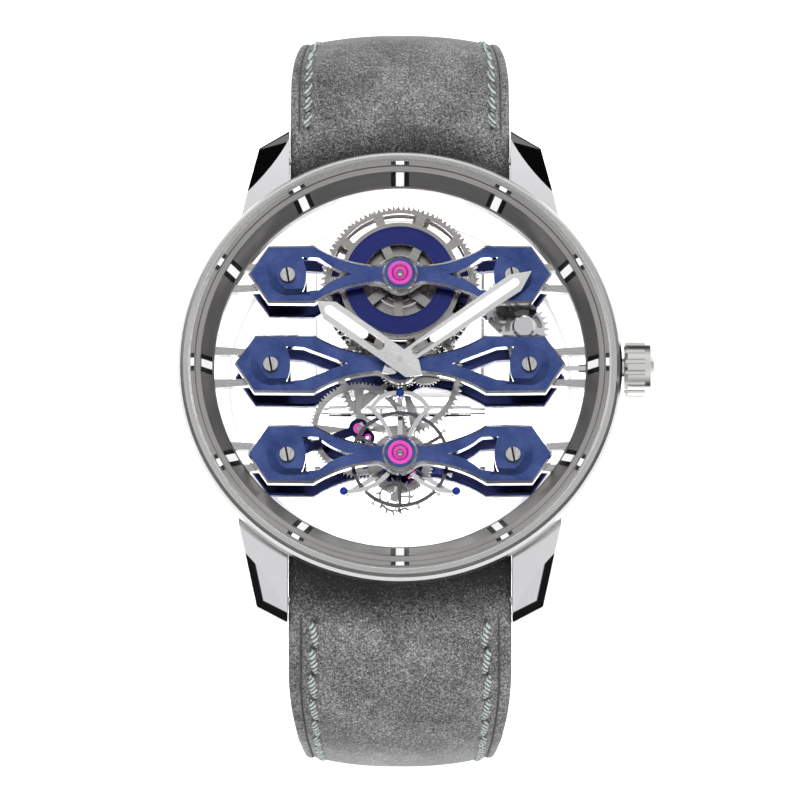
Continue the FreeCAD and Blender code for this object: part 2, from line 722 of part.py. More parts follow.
def support(spec, side, width):
    """Frame from a pillar to the case bore, open in its middle."""
    z = SUPPORT_Z
    inner = spec["screw"] + 0.4
    outline = polygon_wire([
        (inner, -0.8), (inner + 0.8, -width / 2), (19.5, -width / 2 - 0.4),
        (19.5, width / 2 + 0.4), (inner + 0.8, width / 2), (inner, 0.8)])
    inside = width / 2 - 0.55
    hole = polygon_wire([
        (inner + 0.7, -inside), (22.0, -inside), (22.0, inside), (inner + 0.7, inside)])
    frame = plate([outline], z, 0.95).cut(plate([hole], z - 1, 3))
    frame = frame.cut(cylinder(PILLAR_R, 4, spec["screw"], 0, z - 1))
    frame = moved(frame, 0, spec["y"])
    if side < 0:
        frame = mirrored(frame, ACROSS)
    return frame.common(cylinder(FLANGE_BORE_R, 4, 0, 0, z - 1))


def movement_supports():
    """Six frames that hang the bridges from the case."""
    frames = []
    for name, width in (("upper", 2.6), ("middle", 3.6), ("lower", 2.6)):
        for side in (-1, 1):
            frames.append(support(BRIDGES[name], side, width))
    return group(frames)


# ================================================================ barrel and winding
def barrel_drum():
    """Drum wall and floor, its gear rim with arc slots and a cover of seven slanted spokes."""
    x, y = BARREL_AT
    floor = ring(DRUM_R, ARBOR_R + RUN_GAP, 0.2, z=DRUM_Z)
    wall = ring(DRUM_R, DRUM_R - 0.25, DRUM_TOP_Z - DRUM_Z, z=DRUM_Z)
    slots = [sector_wire(DRUM_R + 0.35, 7.0, 36 * i + 4, 36 * i + 32) for i in range(10)]
    pitch_r = BARREL_TEETH * BARREL_MODULE / 2
    rim = plate(
        [tooth_wire(BARREL_TEETH, pitch_r, BARREL_MODULE)] + slots + [circle_wire(DRUM_R - 0.1)],
        BARREL_GEAR_Z, 0.4)
    cover_z = DRUM_TOP_Z - 0.2
    cover_rim = ring(DRUM_R, 3.75, 0.2, z=cover_z)
    hub = ring(1.3, ARBOR_R + RUN_GAP, 0.2, z=cover_z)
    spoke = box(0.95, 4.0, -0.45, 0.45, cover_z, DRUM_TOP_Z)
    spoke.rotate(Vector(0.95, 0, 0), UP, 14)
    spokes = [turned(spoke, i * 360.0 / 7) for i in range(7)]
    return moved(joined([floor, wall, rim, cover_rim, hub] + spokes), x, y)


def barrel_ring():
    """Coloured ring with two polished lips on the drum's cover."""
    x, y = BARREL_AT
    flat = ring(5.4, 3.85, 0.2, z=DRUM_TOP_Z)
    outer_lip = ring(5.55, 5.4, 0.27, z=DRUM_TOP_Z)
    inner_lip = ring(3.85, 3.75, 0.27, z=DRUM_TOP_Z)
    return moved(joined([flat, outer_lip, inner_lip]), x, y)


def mainspring():
    """Wound spring pack in the drum, as concentric turns."""
    x, y = BARREL_AT
    turns = [ring(r, r - 0.12, 0.7, x, y, 6.0) for r in (1.9, 2.3, 2.7, 4.3, 4.7, 5.1)]
    return group(turns)


def barrel_arbor():
    """Arbor turned by the ratchet wheel, pivoted in both bridges."""
    x, y = BARREL_AT
    top = FRONT_Z + FRONT_T
    parts = [
        cylinder(ARBOR_R, 8.2 - 3.75, x, y, 3.75),
        cylinder(PIVOT_R, top - 8.2 - 0.1, x, y, 8.2),
        cylinder(0.9, 0.7, x, y, 6.0),
    ]
    return joined(parts)


def ratchet_wheel():
    """Coarse wheel under the drum, square on the arbor."""
    x, y = BARREL_AT
    wheel = spoked_gear(RATCHET_TEETH, WINDING_MODULE, WHEEL_T, ARBOR_R, 6.9, 2.0, 5)
    return moved(wheel, x, y, RATCHET_Z)


def micro_rotor():
    """Winding rotor under the barrel: a heavy half rim on a bearing hub."""
    x, y = BARREL_AT
    z = ROTOR_Z
    hub = ring(1.6, 1.15, 1.35, z=z)
    rim = plate([sector_wire(5.6, 7.6, 180, 360)], z, 1.0)
    web = plate([sector_wire(1.3, 5.8, 180, 360)], z, 0.4)
    windows = [plate([sector_wire(2.4, 5.0, a, a + 40)], z - 1, 3) for a in (190, 250, 310)]
    body = joined([hub, rim, web])
    for window in windows:
        body = body.cut(window)
    return moved(body, x, y)


def crown_wheel():
    """Winding wheel with a polished cap."""
    x, y = CROWN_WHEEL_AT
    wheel = pinion(CROWN_WHEEL_TEETH, WINDING_MODULE, WHEEL_T, 0.0, CROWN_WHEEL_TURN)
    windows = [plate([sector_wire(1.35, 1.85, 72 * i, 72 * i + 48)], -1, 3) for i in range(5)]
    for window in windows:
        wheel = wheel.cut(window)
    cap = bevelled(cylinder(1.15, 0.8, 0, 0, WHEEL_T), WHEEL_T + 0.8, 0.2)
    stem = cylinder(0.4, 0.6, 0, 0, -0.6)
    return moved(joined([wheel, cap, stem]), x, y, RATCHET_Z)


def transmission_wheel():
    """Idler between the crown wheel and the ratchet wheel."""
    x, y = TRANSMISSION_AT
    wheel = pinion(TRANSMISSION_TEETH, WINDING_MODULE, WHEEL_T, 0.0, TRANSMISSION_TURN)
    hub = cylinder(0.6, 0.4, 0, 0, WHEEL_T)
    stem = cylinder(0.4, 0.6, 0, 0, -0.6)
    return moved(joined([wheel, hub, stem]), x, y, RATCHET_Z)


def keyless_plate():
    """Plate that carries the winding wheels, fixed to the upper and middle right pillars."""
    x, y = CROWN_WHEEL_AT
    tx, ty = TRANSMISSION_AT
    upper = (BRIDGES["upper"]["screw"], BRIDGES["upper"]["y"])
    middle = (BRIDGES["middle"]["screw"], BRIDGES["middle"]["y"])
    z = REAR_Z + REAR_T
    outline = polygon_wire([
        (upper[0] + 1.2, upper[1] + 0.2), (x + 2.0, y + 0.6), (middle[0] + 1.4, middle[1] - 1.0),
        (middle[0] - 1.4, middle[1] - 1.0), (x - 1.6, y - 1.2), (tx - 1.3, ty - 0.8),
        (tx - 0.6, ty + 1.5), (upper[0] - 1.2, upper[1] + 0.2)])
    body = plate([outline], z, 0.5)
    for px, py in (upper, middle):
        body = body.cut(cylinder(PILLAR_R, 3, px, py, z - 1))
    for px, py in ((x, y), (tx, ty)):
        body = body.cut(cylinder(0.4 + RUN_GAP, 3, px, py, z - 1))
    return body


def crown_tube():
    """Tube pressed into the case for the stem."""
    return ring(TUBE_R, TUBE_BORE_R, 3.5, TUBE_INNER_X, 0, STEM_Z, ACROSS)


def crown():
    """Fluted crown with a chamfered outer end."""
    length = CROWN_OUTER_X - CROWN_INNER_X
    body = cylinder(CROWN_R, length, CROWN_INNER_X, 0, STEM_Z, ACROSS)
    end_edges = [edge for edge in body.Edges if edge.BoundBox.XLength < 1e-6]
    body = body.makeChamfer(0.35, end_edges)
    groove = cylinder(0.27, length - 0.9, CROWN_INNER_X, 0, STEM_Z + CROWN_R + 0.02, ACROSS)
    for step in range(16):
        cutter = groove.copy()
        cutter.rotate(Vector(0, 0, STEM_Z), ACROSS, 22.5 * step)
        body = body.cut(cutter)
    bore = cylinder(TUBE_R + 0.1, 1.1, CROWN_INNER_X, 0, STEM_Z, ACROSS)
    socket = cylinder(STEM_R, 2.2, CROWN_INNER_X, 0, STEM_Z, ACROSS)
    return body.cut(bore).cut(socket)


def stem():
    """Winding stem: round in the tube, square in the pinion."""
    end_x = CROWN_INNER_X + 2.2
    shaft = cylinder(STEM_R, end_x - 17.7, 17.7, 0, STEM_Z, ACROSS)
    half = STEM_SQUARE_HALF
    square = box(WINDING_PINION_X - 0.1, 17.8, -half, half, STEM_Z - half, STEM_Z + half)
    return joined([shaft, square])


def winding_pinion():
    """Pinion that the square of the stem slides through."""
    body = pinion(WINDING_PINION_TEETH, WINDING_PINION_MODULE, 1.3)
    body.rotate(Vector(0, 0, 0), ALONG, 90)
    body.translate(Vector(WINDING_PINION_X, 0, STEM_Z))
    half = STEM_SQUARE_HALF + RUN_GAP
    return body.cut(box(14.0, 17.0, -half, half, STEM_Z - half, STEM_Z + half))


# ================================================================ going train
def centre_wheel():
    """Wheel, arbor and pinion at the centre."""
    wheel = moved(spoked_gear(CENTRE_TEETH, CENTRE_MODULE, 0.35, 0, 5.4, 1.1, 5), z=4.6)
    leaves = moved(pinion(CENTRE_PINION_TEETH, BARREL_MODULE, 0.7, 0, CENTRE_PINION_TURN), z=6.35)
    parts = [wheel, leaves, cylinder(0.7, 1.5, z=4.9), cylinder(PIVOT_R, 0.7, z=3.9)]
    return joined(parts)


def third_wheel():
    """Wheel and pinion between the centre wheel and the cage."""
    x, y = THIRD_AT
    wheel = spoked_gear(THIRD_TEETH, THIRD_MODULE, 0.3, 0, 4.1, 0.9, 4)
    leaves = pinion(THIRD_PINION_TEETH, CENTRE_MODULE, 0.55, 0, THIRD_PINION_TURN)
    parts = [
        moved(leaves, z=4.5), moved(wheel, z=5.05), cylinder(0.45, 0.35, z=5.05),
        cylinder(PIVOT_R, 0.6, z=5.2)]
    return moved(joined(parts), x, y)


# ================================================================ tourbillon
def fixed_fourth_wheel():
    """Toothed ring round the cage's pinion, on two posts of the lower rear bridge."""
    pitch_r = FOURTH_TEETH * FOURTH_MODULE / 2
    toothed = plate(
        [tooth_wire(FOURTH_TEETH, pitch_r, FOURTH_MODULE), circle_wire(2.3)], FOURTH_Z, 0.25)
    post_z = REAR_Z + REAR_T
    posts = []
    for angle in (-12, 12):
        x, y = polar(2.68, angle)
        posts.append(cylinder(0.3, FOURTH_Z - post_z + 0.1, x, y, post_z))
    return moved(joined([toothed] + posts), *CAGE_AT)


def cage_base():
    """Lower half of the cage: three arms with posts, two pivot arms, a hub and its pinion."""
    z = CAGE_BASE_Z - 0.1
    parts = [
        cylinder(0.9, 0.3, z=z),
        moved(pinion(CAGE_PINION_TEETH, THIRD_MODULE, 0.5, 0, CAGE_PINION_TURN), z=4.95),
        cylinder(0.4, 0.6, z=5.4),
        cylinder(PIVOT_R, 1.2, z=3.85),
    ]
    for angle in CAGE_ARM_ANGLES:
        parts.append(turned(box(0.5, CAGE_ARM_R, -0.25, 0.25, z, z + 0.25), angle))
        x, y = polar(CAGE_ARM_R, angle)
        parts.append(cylinder(0.32, CAGE_TOP_Z - z, x, y, z))
    pivots = ((CAGE_TO_ESCAPE, ESCAPE_DEG, ESCAPE_ARBOR_R), (FORK_FROM_AXIS, FORK_DEG, FORK_ARBOR_R))
    for radius, angle, arbor_r in pivots:
        parts.append(turned(box(0.5, radius, -0.2, 0.2, z, z + 0.25), angle))
        parts.append(cylinder(arbor_r + 0.3, 0.25, *polar(radius, angle), z))
    body = joined(parts)
    for radius, angle, arbor_r in pivots:
        body = body.cut(cylinder(arbor_r + RUN_GAP, 2.0, *polar(radius, angle), z - 1))
    return moved(body, *CAGE_AT)


def curved_bar(points, width, z, thickness):
    """Flat bar of even width along the arc through three points."""
    (ax, ay), (bx, by), (cx, cy) = points
    turn = 2 * (ax * (by - cy) + bx * (cy - ay) + cx * (ay - by))
    a2, b2, c2 = ax * ax + ay * ay, bx * bx + by * by, cx * cx + cy * cy
    centre_x = (a2 * (by - cy) + b2 * (cy - ay) + c2 * (ay - by)) / turn
    centre_y = (a2 * (cx - bx) + b2 * (ax - cx) + c2 * (bx - ax)) / turn
    radius = math.hypot(ax - centre_x, ay - centre_y)

    def beside(offset):
        scale = (radius + offset) / radius
        return [(centre_x + (x - centre_x) * scale, centre_y + (y - centre_y) * scale)
                for x, y in points]

    outer = beside(width / 2)
    inner = beside(-width / 2)
    wire = outline_wire([
        tuple(outer), (outer[2], inner[2]), tuple(inner[::-1]), (inner[0], outer[0])])
    return plate([wire], z, thickness)


def cage_bridge():
    """Upper half of the cage: a lyre towards 12 o'clock and two curved lower arms."""
    z = CAGE_TOP_Z
    t = 0.3
    w = 0.42
    parts = [cylinder(0.9, t, z=z), cylinder(PIVOT_R, 1.0, z=z + t - 0.05)]
    for side in (-1, 1):
        tip = polar(CAGE_ARM_R, CAGE_ARM_ANGLES[1] if side < 0 else CAGE_ARM_ANGLES[2])
        curves = [
            [(side * 0.55, 0.5), (side * 1.25, 2.9), (side * 2.85, 5.0)],
            [(side * 2.85, 4.9), (side * 1.8, 6.15), (0, CAGE_ARM_R)],
            [(side * 0.5, -0.6), (side * 2.6, -2.85), tip]]
        parts += [curved_bar(curve, w, z, t) for curve in curves]
    for angle in CAGE_ARM_ANGLES:
        x, y = polar(CAGE_ARM_R, angle)
        parts.append(cylinder(0.42, t, x, y, z))
    return moved(joined(parts), 0, CAGE_Y)


def cage_screws():
    """Domed blue screws over the cage's three posts."""
    heads = []
    for angle in CAGE_ARM_ANGLES:
        x, y = polar(CAGE_ARM_R, angle, 0, CAGE_Y)
        head = cylinder(0.4, 0.3, x, y, CAGE_TOP_Z + 0.3)
        heads.append(bevelled(head, CAGE_TOP_Z + 0.6, 0.12))
    return group(heads)


def balance_wheel():
    """Balance rim on three arms with its staff."""
    rim = ring(BALANCE_R, BALANCE_R - 0.35, 0.4)
    arms = [turned(box(0, BALANCE_R - 0.2, -0.17, 0.17, 0.1, 0.3), 30 + 120 * i) for i in range(3)]
    staff = cylinder(0.3, 0.85, z=-0.3)
    roller = cylinder(0.75, 0.12, z=-0.3)
    return moved(joined([rim, staff, roller] + arms), 0, CAGE_Y, BALANCE_Z)


def balance_screws():
    """Timing screws round the balance rim."""
    screws = []
    for step in range(14):
        angle = 360.0 / 14 * step + 8
        x, y = polar(BALANCE_R, angle, 0, CAGE_Y)
        direction = Vector(math.cos(math.radians(angle)), math.sin(math.radians(angle)), 0)
        shank = cylinder(0.11, 0.3, x, y, BALANCE_Z + 0.2, direction)
        start = Vector(x, y, BALANCE_Z + 0.2) + direction * 0.25
        head = Part.makeCylinder(0.2, 0.25, start, direction)
        screws.append(joined([shank, head]))
    return group(screws)


def hairspring():
    """Flat spiral over the balance, stopped short of its staff."""
    turns = 9
    inner = 0.55
    pitch = 0.14
    width = 0.05
    steps = 16
    rim = []
    core = []
    for index in range(turns * steps + 1):
        angle = index * 360.0 / steps
        radius = inner + pitch * index / steps
        rim.append(polar(radius + width / 2, angle))
        core.append(polar(radius - width / 2, angle))
    return moved(plate([polygon_wire(rim + core[::-1])], HAIRSPRING_Z, 0.12), 0, CAGE_Y)


def escape_wheel():
    """Club-toothed escape wheel on thin spokes, with its pinion on the fixed wheel."""
    teeth = 15
    points = []
    for index in range(teeth):
        angle = 360.0 / teeth * index
        points += [polar(ESCAPE_R - 0.4, angle - 7), polar(ESCAPE_R, angle + 2),
                   polar(ESCAPE_R - 0.06, angle + 5.5), polar(ESCAPE_R - 0.4, angle + 3.5)]
    windows = [sector_wire(0.45, ESCAPE_R - 0.62, 72 * i + 6, 72 * i + 66) for i in range(5)]
    wheel = plate([polygon_wire(points)] + windows, ESCAPE_Z, 0.14)
    leaf_z = FOURTH_Z - 0.02
    leaves = moved(pinion(ESCAPE_PINION_TEETH, FOURTH_MODULE, 0.3, 0, ESCAPE_TURN), z=leaf_z)
    arbor = cylinder(ESCAPE_ARBOR_R, 0.8, z=leaf_z)
    return moved(joined([wheel, leaves, arbor]), *ESCAPE_AT)


def pallet_fork():
    """Lever between the escape wheel and the balance roller, with two stones."""
    z = ESCAPE_Z
    x, y = FORK_AT
    hub = cylinder(0.3, 0.14, x, y, z)
    arbor = cylinder(FORK_ARBOR_R, 0.55, x, y, z - 0.3)
    lever = box(0, 0.85, -0.1, 0.1, z, z + 0.14)
    lever = moved(turned(lever, FORK_DEG - 180), x, y)
    parts = [hub, arbor, lever]
    for angle in (FORK_DEG - 90, FORK_DEG - 18):
        parts.append(moved(turned(box(0, 0.75, -0.09, 0.09, z, z + 0.14), angle), x, y))
    return joined(parts)


# ================================================================ hands and motion work
def hand_profile(length, hub_w, wide, wide_at, tail):
    """Faceted sword outline along +X."""
    return polygon_wire([
        (-tail, 0), (-tail * 0.55, -hub_w / 2), (length * 0.1, -hub_w / 2),
        (wide_at, -wide / 2), (length, 0), (wide_at, wide / 2), (length * 0.1, hub_w / 2),
        (-tail * 0.55, hub_w / 2)])


def roof(length, tail, half_w, ridge_z, edge_z):
    """Long gabled block that gives a hand its two facets."""
    wire = Part.makePolygon([
        Vector(-tail - 1, -half_w, -1), Vector(-tail - 1, -half_w, edge_z),
        Vector(-tail - 1, 0, ridge_z), Vector(-tail - 1, half_w, edge_z),
        Vector(-tail - 1, half_w, -1), Vector(-tail - 1, -half_w, -1)])
    return Part.Face(wire).extrude(Vector(length + tail + 2, 0, 0))


def slot_shape(start, end, width, z, height):
    """Round-ended slot along +X."""
    r = width / 2
    wire = outline_wire([
        ((start + r, -r), (end - r, -r)), ((end - r, -r), (end, 0), (end - r, r)),
        ((end - r, r), (start + r, r)), ((start + r, r), (start, 0), (start + r, -r))])
    return plate([wire], z, height)


def hand(length, hub_w, wide, wide_at, tail, slot_start, slot_end, slot_w, bore):
    """Hand blade with facets and a slot, along +X at z = 0."""
    blade = plate([hand_profile(length, hub_w, wide, wide_at, tail)], 0, HAND_T)
    half_w = max(hub_w, wide) / 2
    blade = blade.common(roof(length, tail, half_w, HAND_T, HAND_T * 0.35))
    blade = blade.cut(slot_shape(slot_start, slot_end, slot_w, -1, 3))
    return blade.cut(cylinder(bore, 3, z=-1))


MINUTE_HAND = {"length": MINUTE_LENGTH, "hub_w": 1.5, "wide": 2.0, "wide_at": 14.0, "tail": 2.2,
               "slot_start": 1.5, "slot_end": 14.4, "slot_w": 0.85, "bore": PIPE_R}
HOUR_HAND = {"length": HOUR_LENGTH, "hub_w": 2.2, "wide": 2.15, "wide_at": 8.6, "tail": 2.7,
             "slot_start": 2.0, "slot_end": 9.1, "slot_w": 0.95, "bore": 0.32}
def placed_hand(shape, angle, z):
    """Hand part turned to its time and raised to its level."""
    return moved(turned(shape, angle), z=z)


def hand_lume(spec, clear):
    """Luminous bar in the outer part of a hand's slot."""
    return slot_shape(spec["slot_start"] + clear, spec["slot_end"], spec["slot_w"], 0.05, LUME_T)


def cannon_pinion():
    """Pipe that carries the minute hand, with its driving pinion."""
    leaf_t = 0.35
    pipe_z = CANNON_Z + leaf_t
    pipe = ring(PIPE_R, PIPE_BORE_R, MINUTE_HAND_Z + HAND_T + 0.05 - pipe_z, z=pipe_z)
    leaves = pinion(CANNON_TEETH, CANNON_MODULE, leaf_t, PIPE_BORE_R)
    return joined([pipe, moved(leaves, z=CANNON_Z)])


def minute_wheel():
    """Idler of the motion work on its post under the middle bridge."""
    at = (MOTION_DISTANCE, 0.0)
    turn = mesh_turn(MINUTE_WHEEL_TEETH, CENTRE_AT, at, 0, CANNON_TEETH)
    leaf_turn = mesh_turn(MINUTE_PINION_TEETH, CENTRE_AT, at, 0, HOUR_WHEEL_TEETH)
    bore = MOTION_POST_R + RUN_GAP
    wheel = moved(pinion(MINUTE_WHEEL_TEETH, CANNON_MODULE, 0.3, bore, turn), z=CANNON_Z)
    leaf_t = CANNON_Z + 0.05 - HOUR_WHEEL_Z
    leaves = moved(pinion(MINUTE_PINION_TEETH, HOUR_MODULE, leaf_t, bore, leaf_turn), z=HOUR_WHEEL_Z)
    return moved(joined([wheel, leaves]), *at)


def hour_wheel():
    """Wheel and staff that carry the hour hand through the minute pipe."""
    wheel = moved(pinion(HOUR_WHEEL_TEETH, HOUR_MODULE, 0.3), z=HOUR_WHEEL_Z)
    staff_z = HOUR_WHEEL_Z + 0.2
    staff = cylinder(0.36, HOUR_HAND_Z - staff_z, z=staff_z)
    tip = cylinder(0.32, HAND_T + 0.1, z=HOUR_HAND_Z)
    return joined([wheel, staff, tip])


# ================================================================ strap and clasp
def strap_profile(shoulder_r, offset):
    """Closed (y, z) outline of a strap half: shoulder arc, then the loop arc that ends on the clasp."""
    centre = (BAR_Y + SHOULDER_FROM_BAR,
              BAR_Z - math.sqrt(shoulder_r ** 2 - SHOULDER_FROM_BAR ** 2))
    reach = centre[0] + shoulder_r - STRAP_END_AT[0]
    drop = centre[1] - STRAP_END_AT[1]
    loop_r = (reach ** 2 + drop ** 2) / (2 * reach)
    loop = (centre[0] + shoulder_r - loop_r, centre[1])
    end_angle = math.degrees(math.atan2(drop, STRAP_END_AT[0] - loop[0]))
    start = 90.0 + math.degrees(math.asin(SHOULDER_FROM_BAR / shoulder_r))

    def around(point, radius, degrees):
        return polar(radius, degrees, *point)

    out_r = shoulder_r + offset
    in_r = shoulder_r - offset
    big_out = loop_r + offset
    big_in = loop_r - offset
    half = end_angle / 2
    return outline_wire([
        (around(centre, out_r, start), around(centre, out_r, start / 2), around(centre, out_r, 0)),
        (around(loop, big_out, 0), around(loop, big_out, -half), around(loop, big_out, -end_angle)),
        (around(loop, big_out, -end_angle), around(loop, big_in, -end_angle)),
        (around(loop, big_in, -end_angle), around(loop, big_in, -half), around(loop, big_in, 0)),
        (around(centre, in_r, 0), around(centre, in_r, start / 2), around(centre, in_r, start)),
        (around(centre, in_r, start), around(centre, out_r, start)),
    ])


def strap_solid(shoulder_r):
    """Strap half on the 12 o'clock side: a band with a round eye on its spring bar and a rounded end."""
    half_w = STRAP_W / 2
    profile = strap_profile(shoulder_r, STRAP_T / 2)
    band = Part.Face(profile).extrude(Vector(0, 0, STRAP_W))
    band.rotate(Vector(0, 0, 0), ACROSS, 90)
    band.rotate(Vector(0, 0, 0), UP, 90)
    band.translate(Vector(-half_w, 0, 0))
    eye = cylinder(STRAP_T / 2, STRAP_W, -half_w, BAR_Y, BAR_Z, ACROSS)
    end = cylinder(STRAP_T / 2, STRAP_W, -half_w, *STRAP_END_AT, ACROSS)
    body = joined([band, eye, end])
    taper = Part.Face(Part.makePolygon([
        Vector(-half_w, 0, 8), Vector(-half_w, 0, 2), Vector(-STRAP_MID_HALF_W, 0, -16),
        Vector(-STRAP_END_HALF_W, 0, -34), Vector(-STRAP_END_HALF_W, 0, -60),
        Vector(STRAP_END_HALF_W, 0, -60), Vector(STRAP_END_HALF_W, 0, -34),
        Vector(STRAP_MID_HALF_W, 0, -16), Vector(half_w, 0, 2), Vector(half_w, 0, 8),
        Vector(-half_w, 0, 8)])).extrude(Vector(0, 60, 0))
    body = body.common(taper)
    return body.cut(cylinder(BAR_R + RUN_GAP, STRAP_W, -half_w, BAR_Y, BAR_Z, ACROSS))


def clasp_sector(r_in, r_out, start, end, x0, x1):
    """Curved plate about the clasp's axis, from one angle to another past straight down."""
    face = Part.makeFace([sector_wire(r_in, r_out, start - 90, end - 90)],
                         "Part::FaceMakerBullseye")
    solid = face.extrude(Vector(0, 0, x1 - x0))
    solid.rotate(Vector(0, 0, 0), ACROSS, 90)
    solid.rotate(Vector(0, 0, 0), UP, 90)
    solid.translate(Vector(x0, 0, CLASP_AT_Z))
    return solid


def clasp_rod(radius, r, degrees, x0, x1):
    """Cylinder along X at a radius and angle of the clasp."""
    y, z = polar(r, degrees - 90, 0, CLASP_AT_Z)
    return cylinder(radius, x1 - x0, x0, y, z, ACROSS)


def clasp_cover():
    """Outer plate with two cheeks, and the pins that hold the strap's end and the long blade."""
    parts = [clasp_sector(32.3, 33.5, -20.3, 21.0, -CHEEK_OUT, CHEEK_OUT)]
    for x0, x1 in ((-CHEEK_OUT, -CHEEK_IN), (CHEEK_IN, CHEEK_OUT)):
        parts.append(clasp_sector(30.0, 32.8, -CLASP_END_DEG, 20.5, x0, x1))
        parts.append(clasp_rod(1.6, CLASP_R, -CLASP_END_DEG, x0, x1))
    body = joined(parts)
    for x0, x1 in ((-CHEEK_OUT - 1, -CHEEK_IN + 1), (CHEEK_IN - 1, CHEEK_OUT + 1)):
        body = body.cut(clasp_rod(BUTTON_R + RUN_GAP, BUTTON_CLASP_R, BUTTON_DEG, x0, x1))
    pins = [clasp_rod(CLASP_PIN_R, CLASP_R, -CLASP_END_DEG, -CHEEK_IN - 0.2, CHEEK_IN + 0.2),
            clasp_rod(CLASP_PIN_R, LONG_HINGE_R, LONG_HINGE_DEG, -CHEEK_IN - 0.2, CHEEK_IN + 0.2)]
    return joined([body] + pins)


def clasp_long_blade():
    """Blade hinged to the cover near 12 o'clock, with two ears that hold the next hinge."""
    w = BLADE_HALF_W
    parts = [clasp_sector(31.4, 32.05, -13.3, LONG_HINGE_DEG, -w, w),
             clasp_rod(0.6, LONG_HINGE_R, LONG_HINGE_DEG, -w, w)]
    for x0, x1 in ((-w, -w + 1.2), (w - 1.2, w)):
        parts.append(clasp_sector(30.3, 32.05, -16.2, -12.8, x0, x1))
    body = joined(parts)
    body = body.cut(clasp_rod(CLASP_PIN_R + RUN_GAP, LONG_HINGE_R, LONG_HINGE_DEG, -w, w))
    pin = clasp_rod(CLASP_PIN_R, SHORT_HINGE_R, SHORT_HINGE_DEG, -w + 0.5, w - 0.5)
    return joined([body, pin])


def clasp_short_blade():
    """Inner blade hinged to the long blade near 6 o'clock, its other end meeting the strap."""
    w = BLADE_HALF_W - 1.3
    parts = [clasp_sector(30.2, 30.85, SHORT_HINGE_DEG, 17.0, -w, w),
             clasp_rod(0.6, SHORT_HINGE_R, SHORT_HINGE_DEG, -w, w)]
    hole = clasp_rod(CLASP_PIN_R + RUN_GAP, SHORT_HINGE_R, SHORT_HINGE_DEG, -w, w)
    return joined(parts).cut(hole)


def clasp_button(side):
    """Push-button in one cheek, proud of it and clear of the blades."""
    inner = CHEEK_IN - 0.6
    outer = CHEEK_OUT + BUTTON_PROUD
    body = clasp_rod(BUTTON_R, BUTTON_CLASP_R, BUTTON_DEG, inner, outer)
    outer_edges = [edge for edge in body.Edges if abs(edge.BoundBox.XMin - outer) < 1e-6]
    body = body.makeChamfer(0.2, outer_edges)
    return mirrored(body, ACROSS) if side < 0 else body


def spring_bars():
    """Two spring bars between the lugs."""
    bars = []
    for y in (BAR_Y, -BAR_Y):
        rod = cylinder(BAR_R, STRAP_W, -STRAP_W / 2, y, BAR_Z, ACROSS)
        tips = cylinder(BAR_TIP_R, STRAP_W + 1.6, -STRAP_W / 2 - 0.8, y, BAR_Z, ACROSS)
        bars.append(joined([rod, tips]))
    return group(bars)


PIECES = {}


def add(name, shape):
    """Keep a named piece for export."""
    PIECES[name] = shape


def build_case():
    """Case, bezel, ring, markers, crystal and back."""
    add("case_middle", case_middle())
    add("bezel", bezel())
    bed = flange_ring()
    add("flange_ring", bed)
    holders, lume = markers(bed)
    add("marker_holders", holders)
    add("marker_lume", lume)
    add("crystal", crystal())
    add("case_gaskets", case_gaskets())
    add("case_back_ring", case_back_ring())
    add("case_back_crystal", case_back_crystal())
    add("crown_tube", crown_tube())
    add("spring_bars", spring_bars())


def build_movement():
    """Bridges, barrel, winding work and going train."""
    for name in BRIDGES:
        add(name + "_front_bridge", front_bridge(name))
        add(name + "_rear_bridge", rear_bridge(name))
    add("bridge_pillars", bridge_pillars())
    add("bridge_screws", bridge_screws())
    add("front_jewels", front_jewels())
    add("rear_jewels", rear_jewels())
    add("third_wheel_cock", third_wheel_cock())
    add("movement_supports", movement_supports())
    add("barrel_drum", barrel_drum())
    add("barrel_ring", barrel_ring())
    add("mainspring", mainspring())
    add("barrel_arbor", barrel_arbor())
    add("ratchet_wheel", ratchet_wheel())
    add("micro_rotor", micro_rotor())
    add("crown_wheel", crown_wheel())
    add("transmission_wheel", transmission_wheel())
    add("keyless_plate", keyless_plate())
    add("crown", crown())
    add("stem", stem())
    add("winding_pinion", winding_pinion())
    add("centre_wheel", centre_wheel())
    add("third_wheel", third_wheel())


def build_tourbillon():
    """Cage, balance and escapement."""
    add("fixed_fourth_wheel", fixed_fourth_wheel())
    add("cage_base", cage_base())
    add("cage_bridge", cage_bridge())
    add("cage_screws", cage_screws())
    add("balance_wheel", balance_wheel())
    add("balance_screws", balance_screws())
    add("hairspring", hairspring())
    add("escape_wheel", escape_wheel())
    add("pallet_fork", pallet_fork())


def build_hands():
    """Motion work and hands."""
    add("cannon_pinion", cannon_pinion())
    add("minute_wheel", minute_wheel())
    add("hour_wheel", hour_wheel())
    add("minute_hand", placed_hand(hand(**MINUTE_HAND), MINUTE_ANGLE, MINUTE_HAND_Z))
    add("minute_hand_lume", placed_hand(hand_lume(MINUTE_HAND, 2.2), MINUTE_ANGLE, MINUTE_HAND_Z))
    add("hour_hand", placed_hand(hand(**HOUR_HAND), HOUR_ANGLE, HOUR_HAND_Z))
    add("hour_hand_lume", placed_hand(hand_lume(HOUR_HAND, 2.0), HOUR_ANGLE, HOUR_HAND_Z))


def build_strap():
    """Both strap halves and the folding clasp."""
    add("strap_12", strap_solid(SHOULDER_12_R))
    pin_hole = clasp_rod(CLASP_PIN_R + RUN_GAP, CLASP_R, -CLASP_END_DEG, -CHEEK_IN, CHEEK_IN)
    add("strap_6", mirrored(strap_solid(SHOULDER_6_R), ALONG).cut(pin_hole))
    add("clasp_cover", clasp_cover())
    add("clasp_long_blade", clasp_long_blade())
    add("clasp_short_blade", clasp_short_blade())
    add("clasp_button_left", clasp_button(-1))
    add("clasp_button_right", clasp_button(1))


build_case()
build_movement()
build_tourbillon()
build_hands()
build_strap()

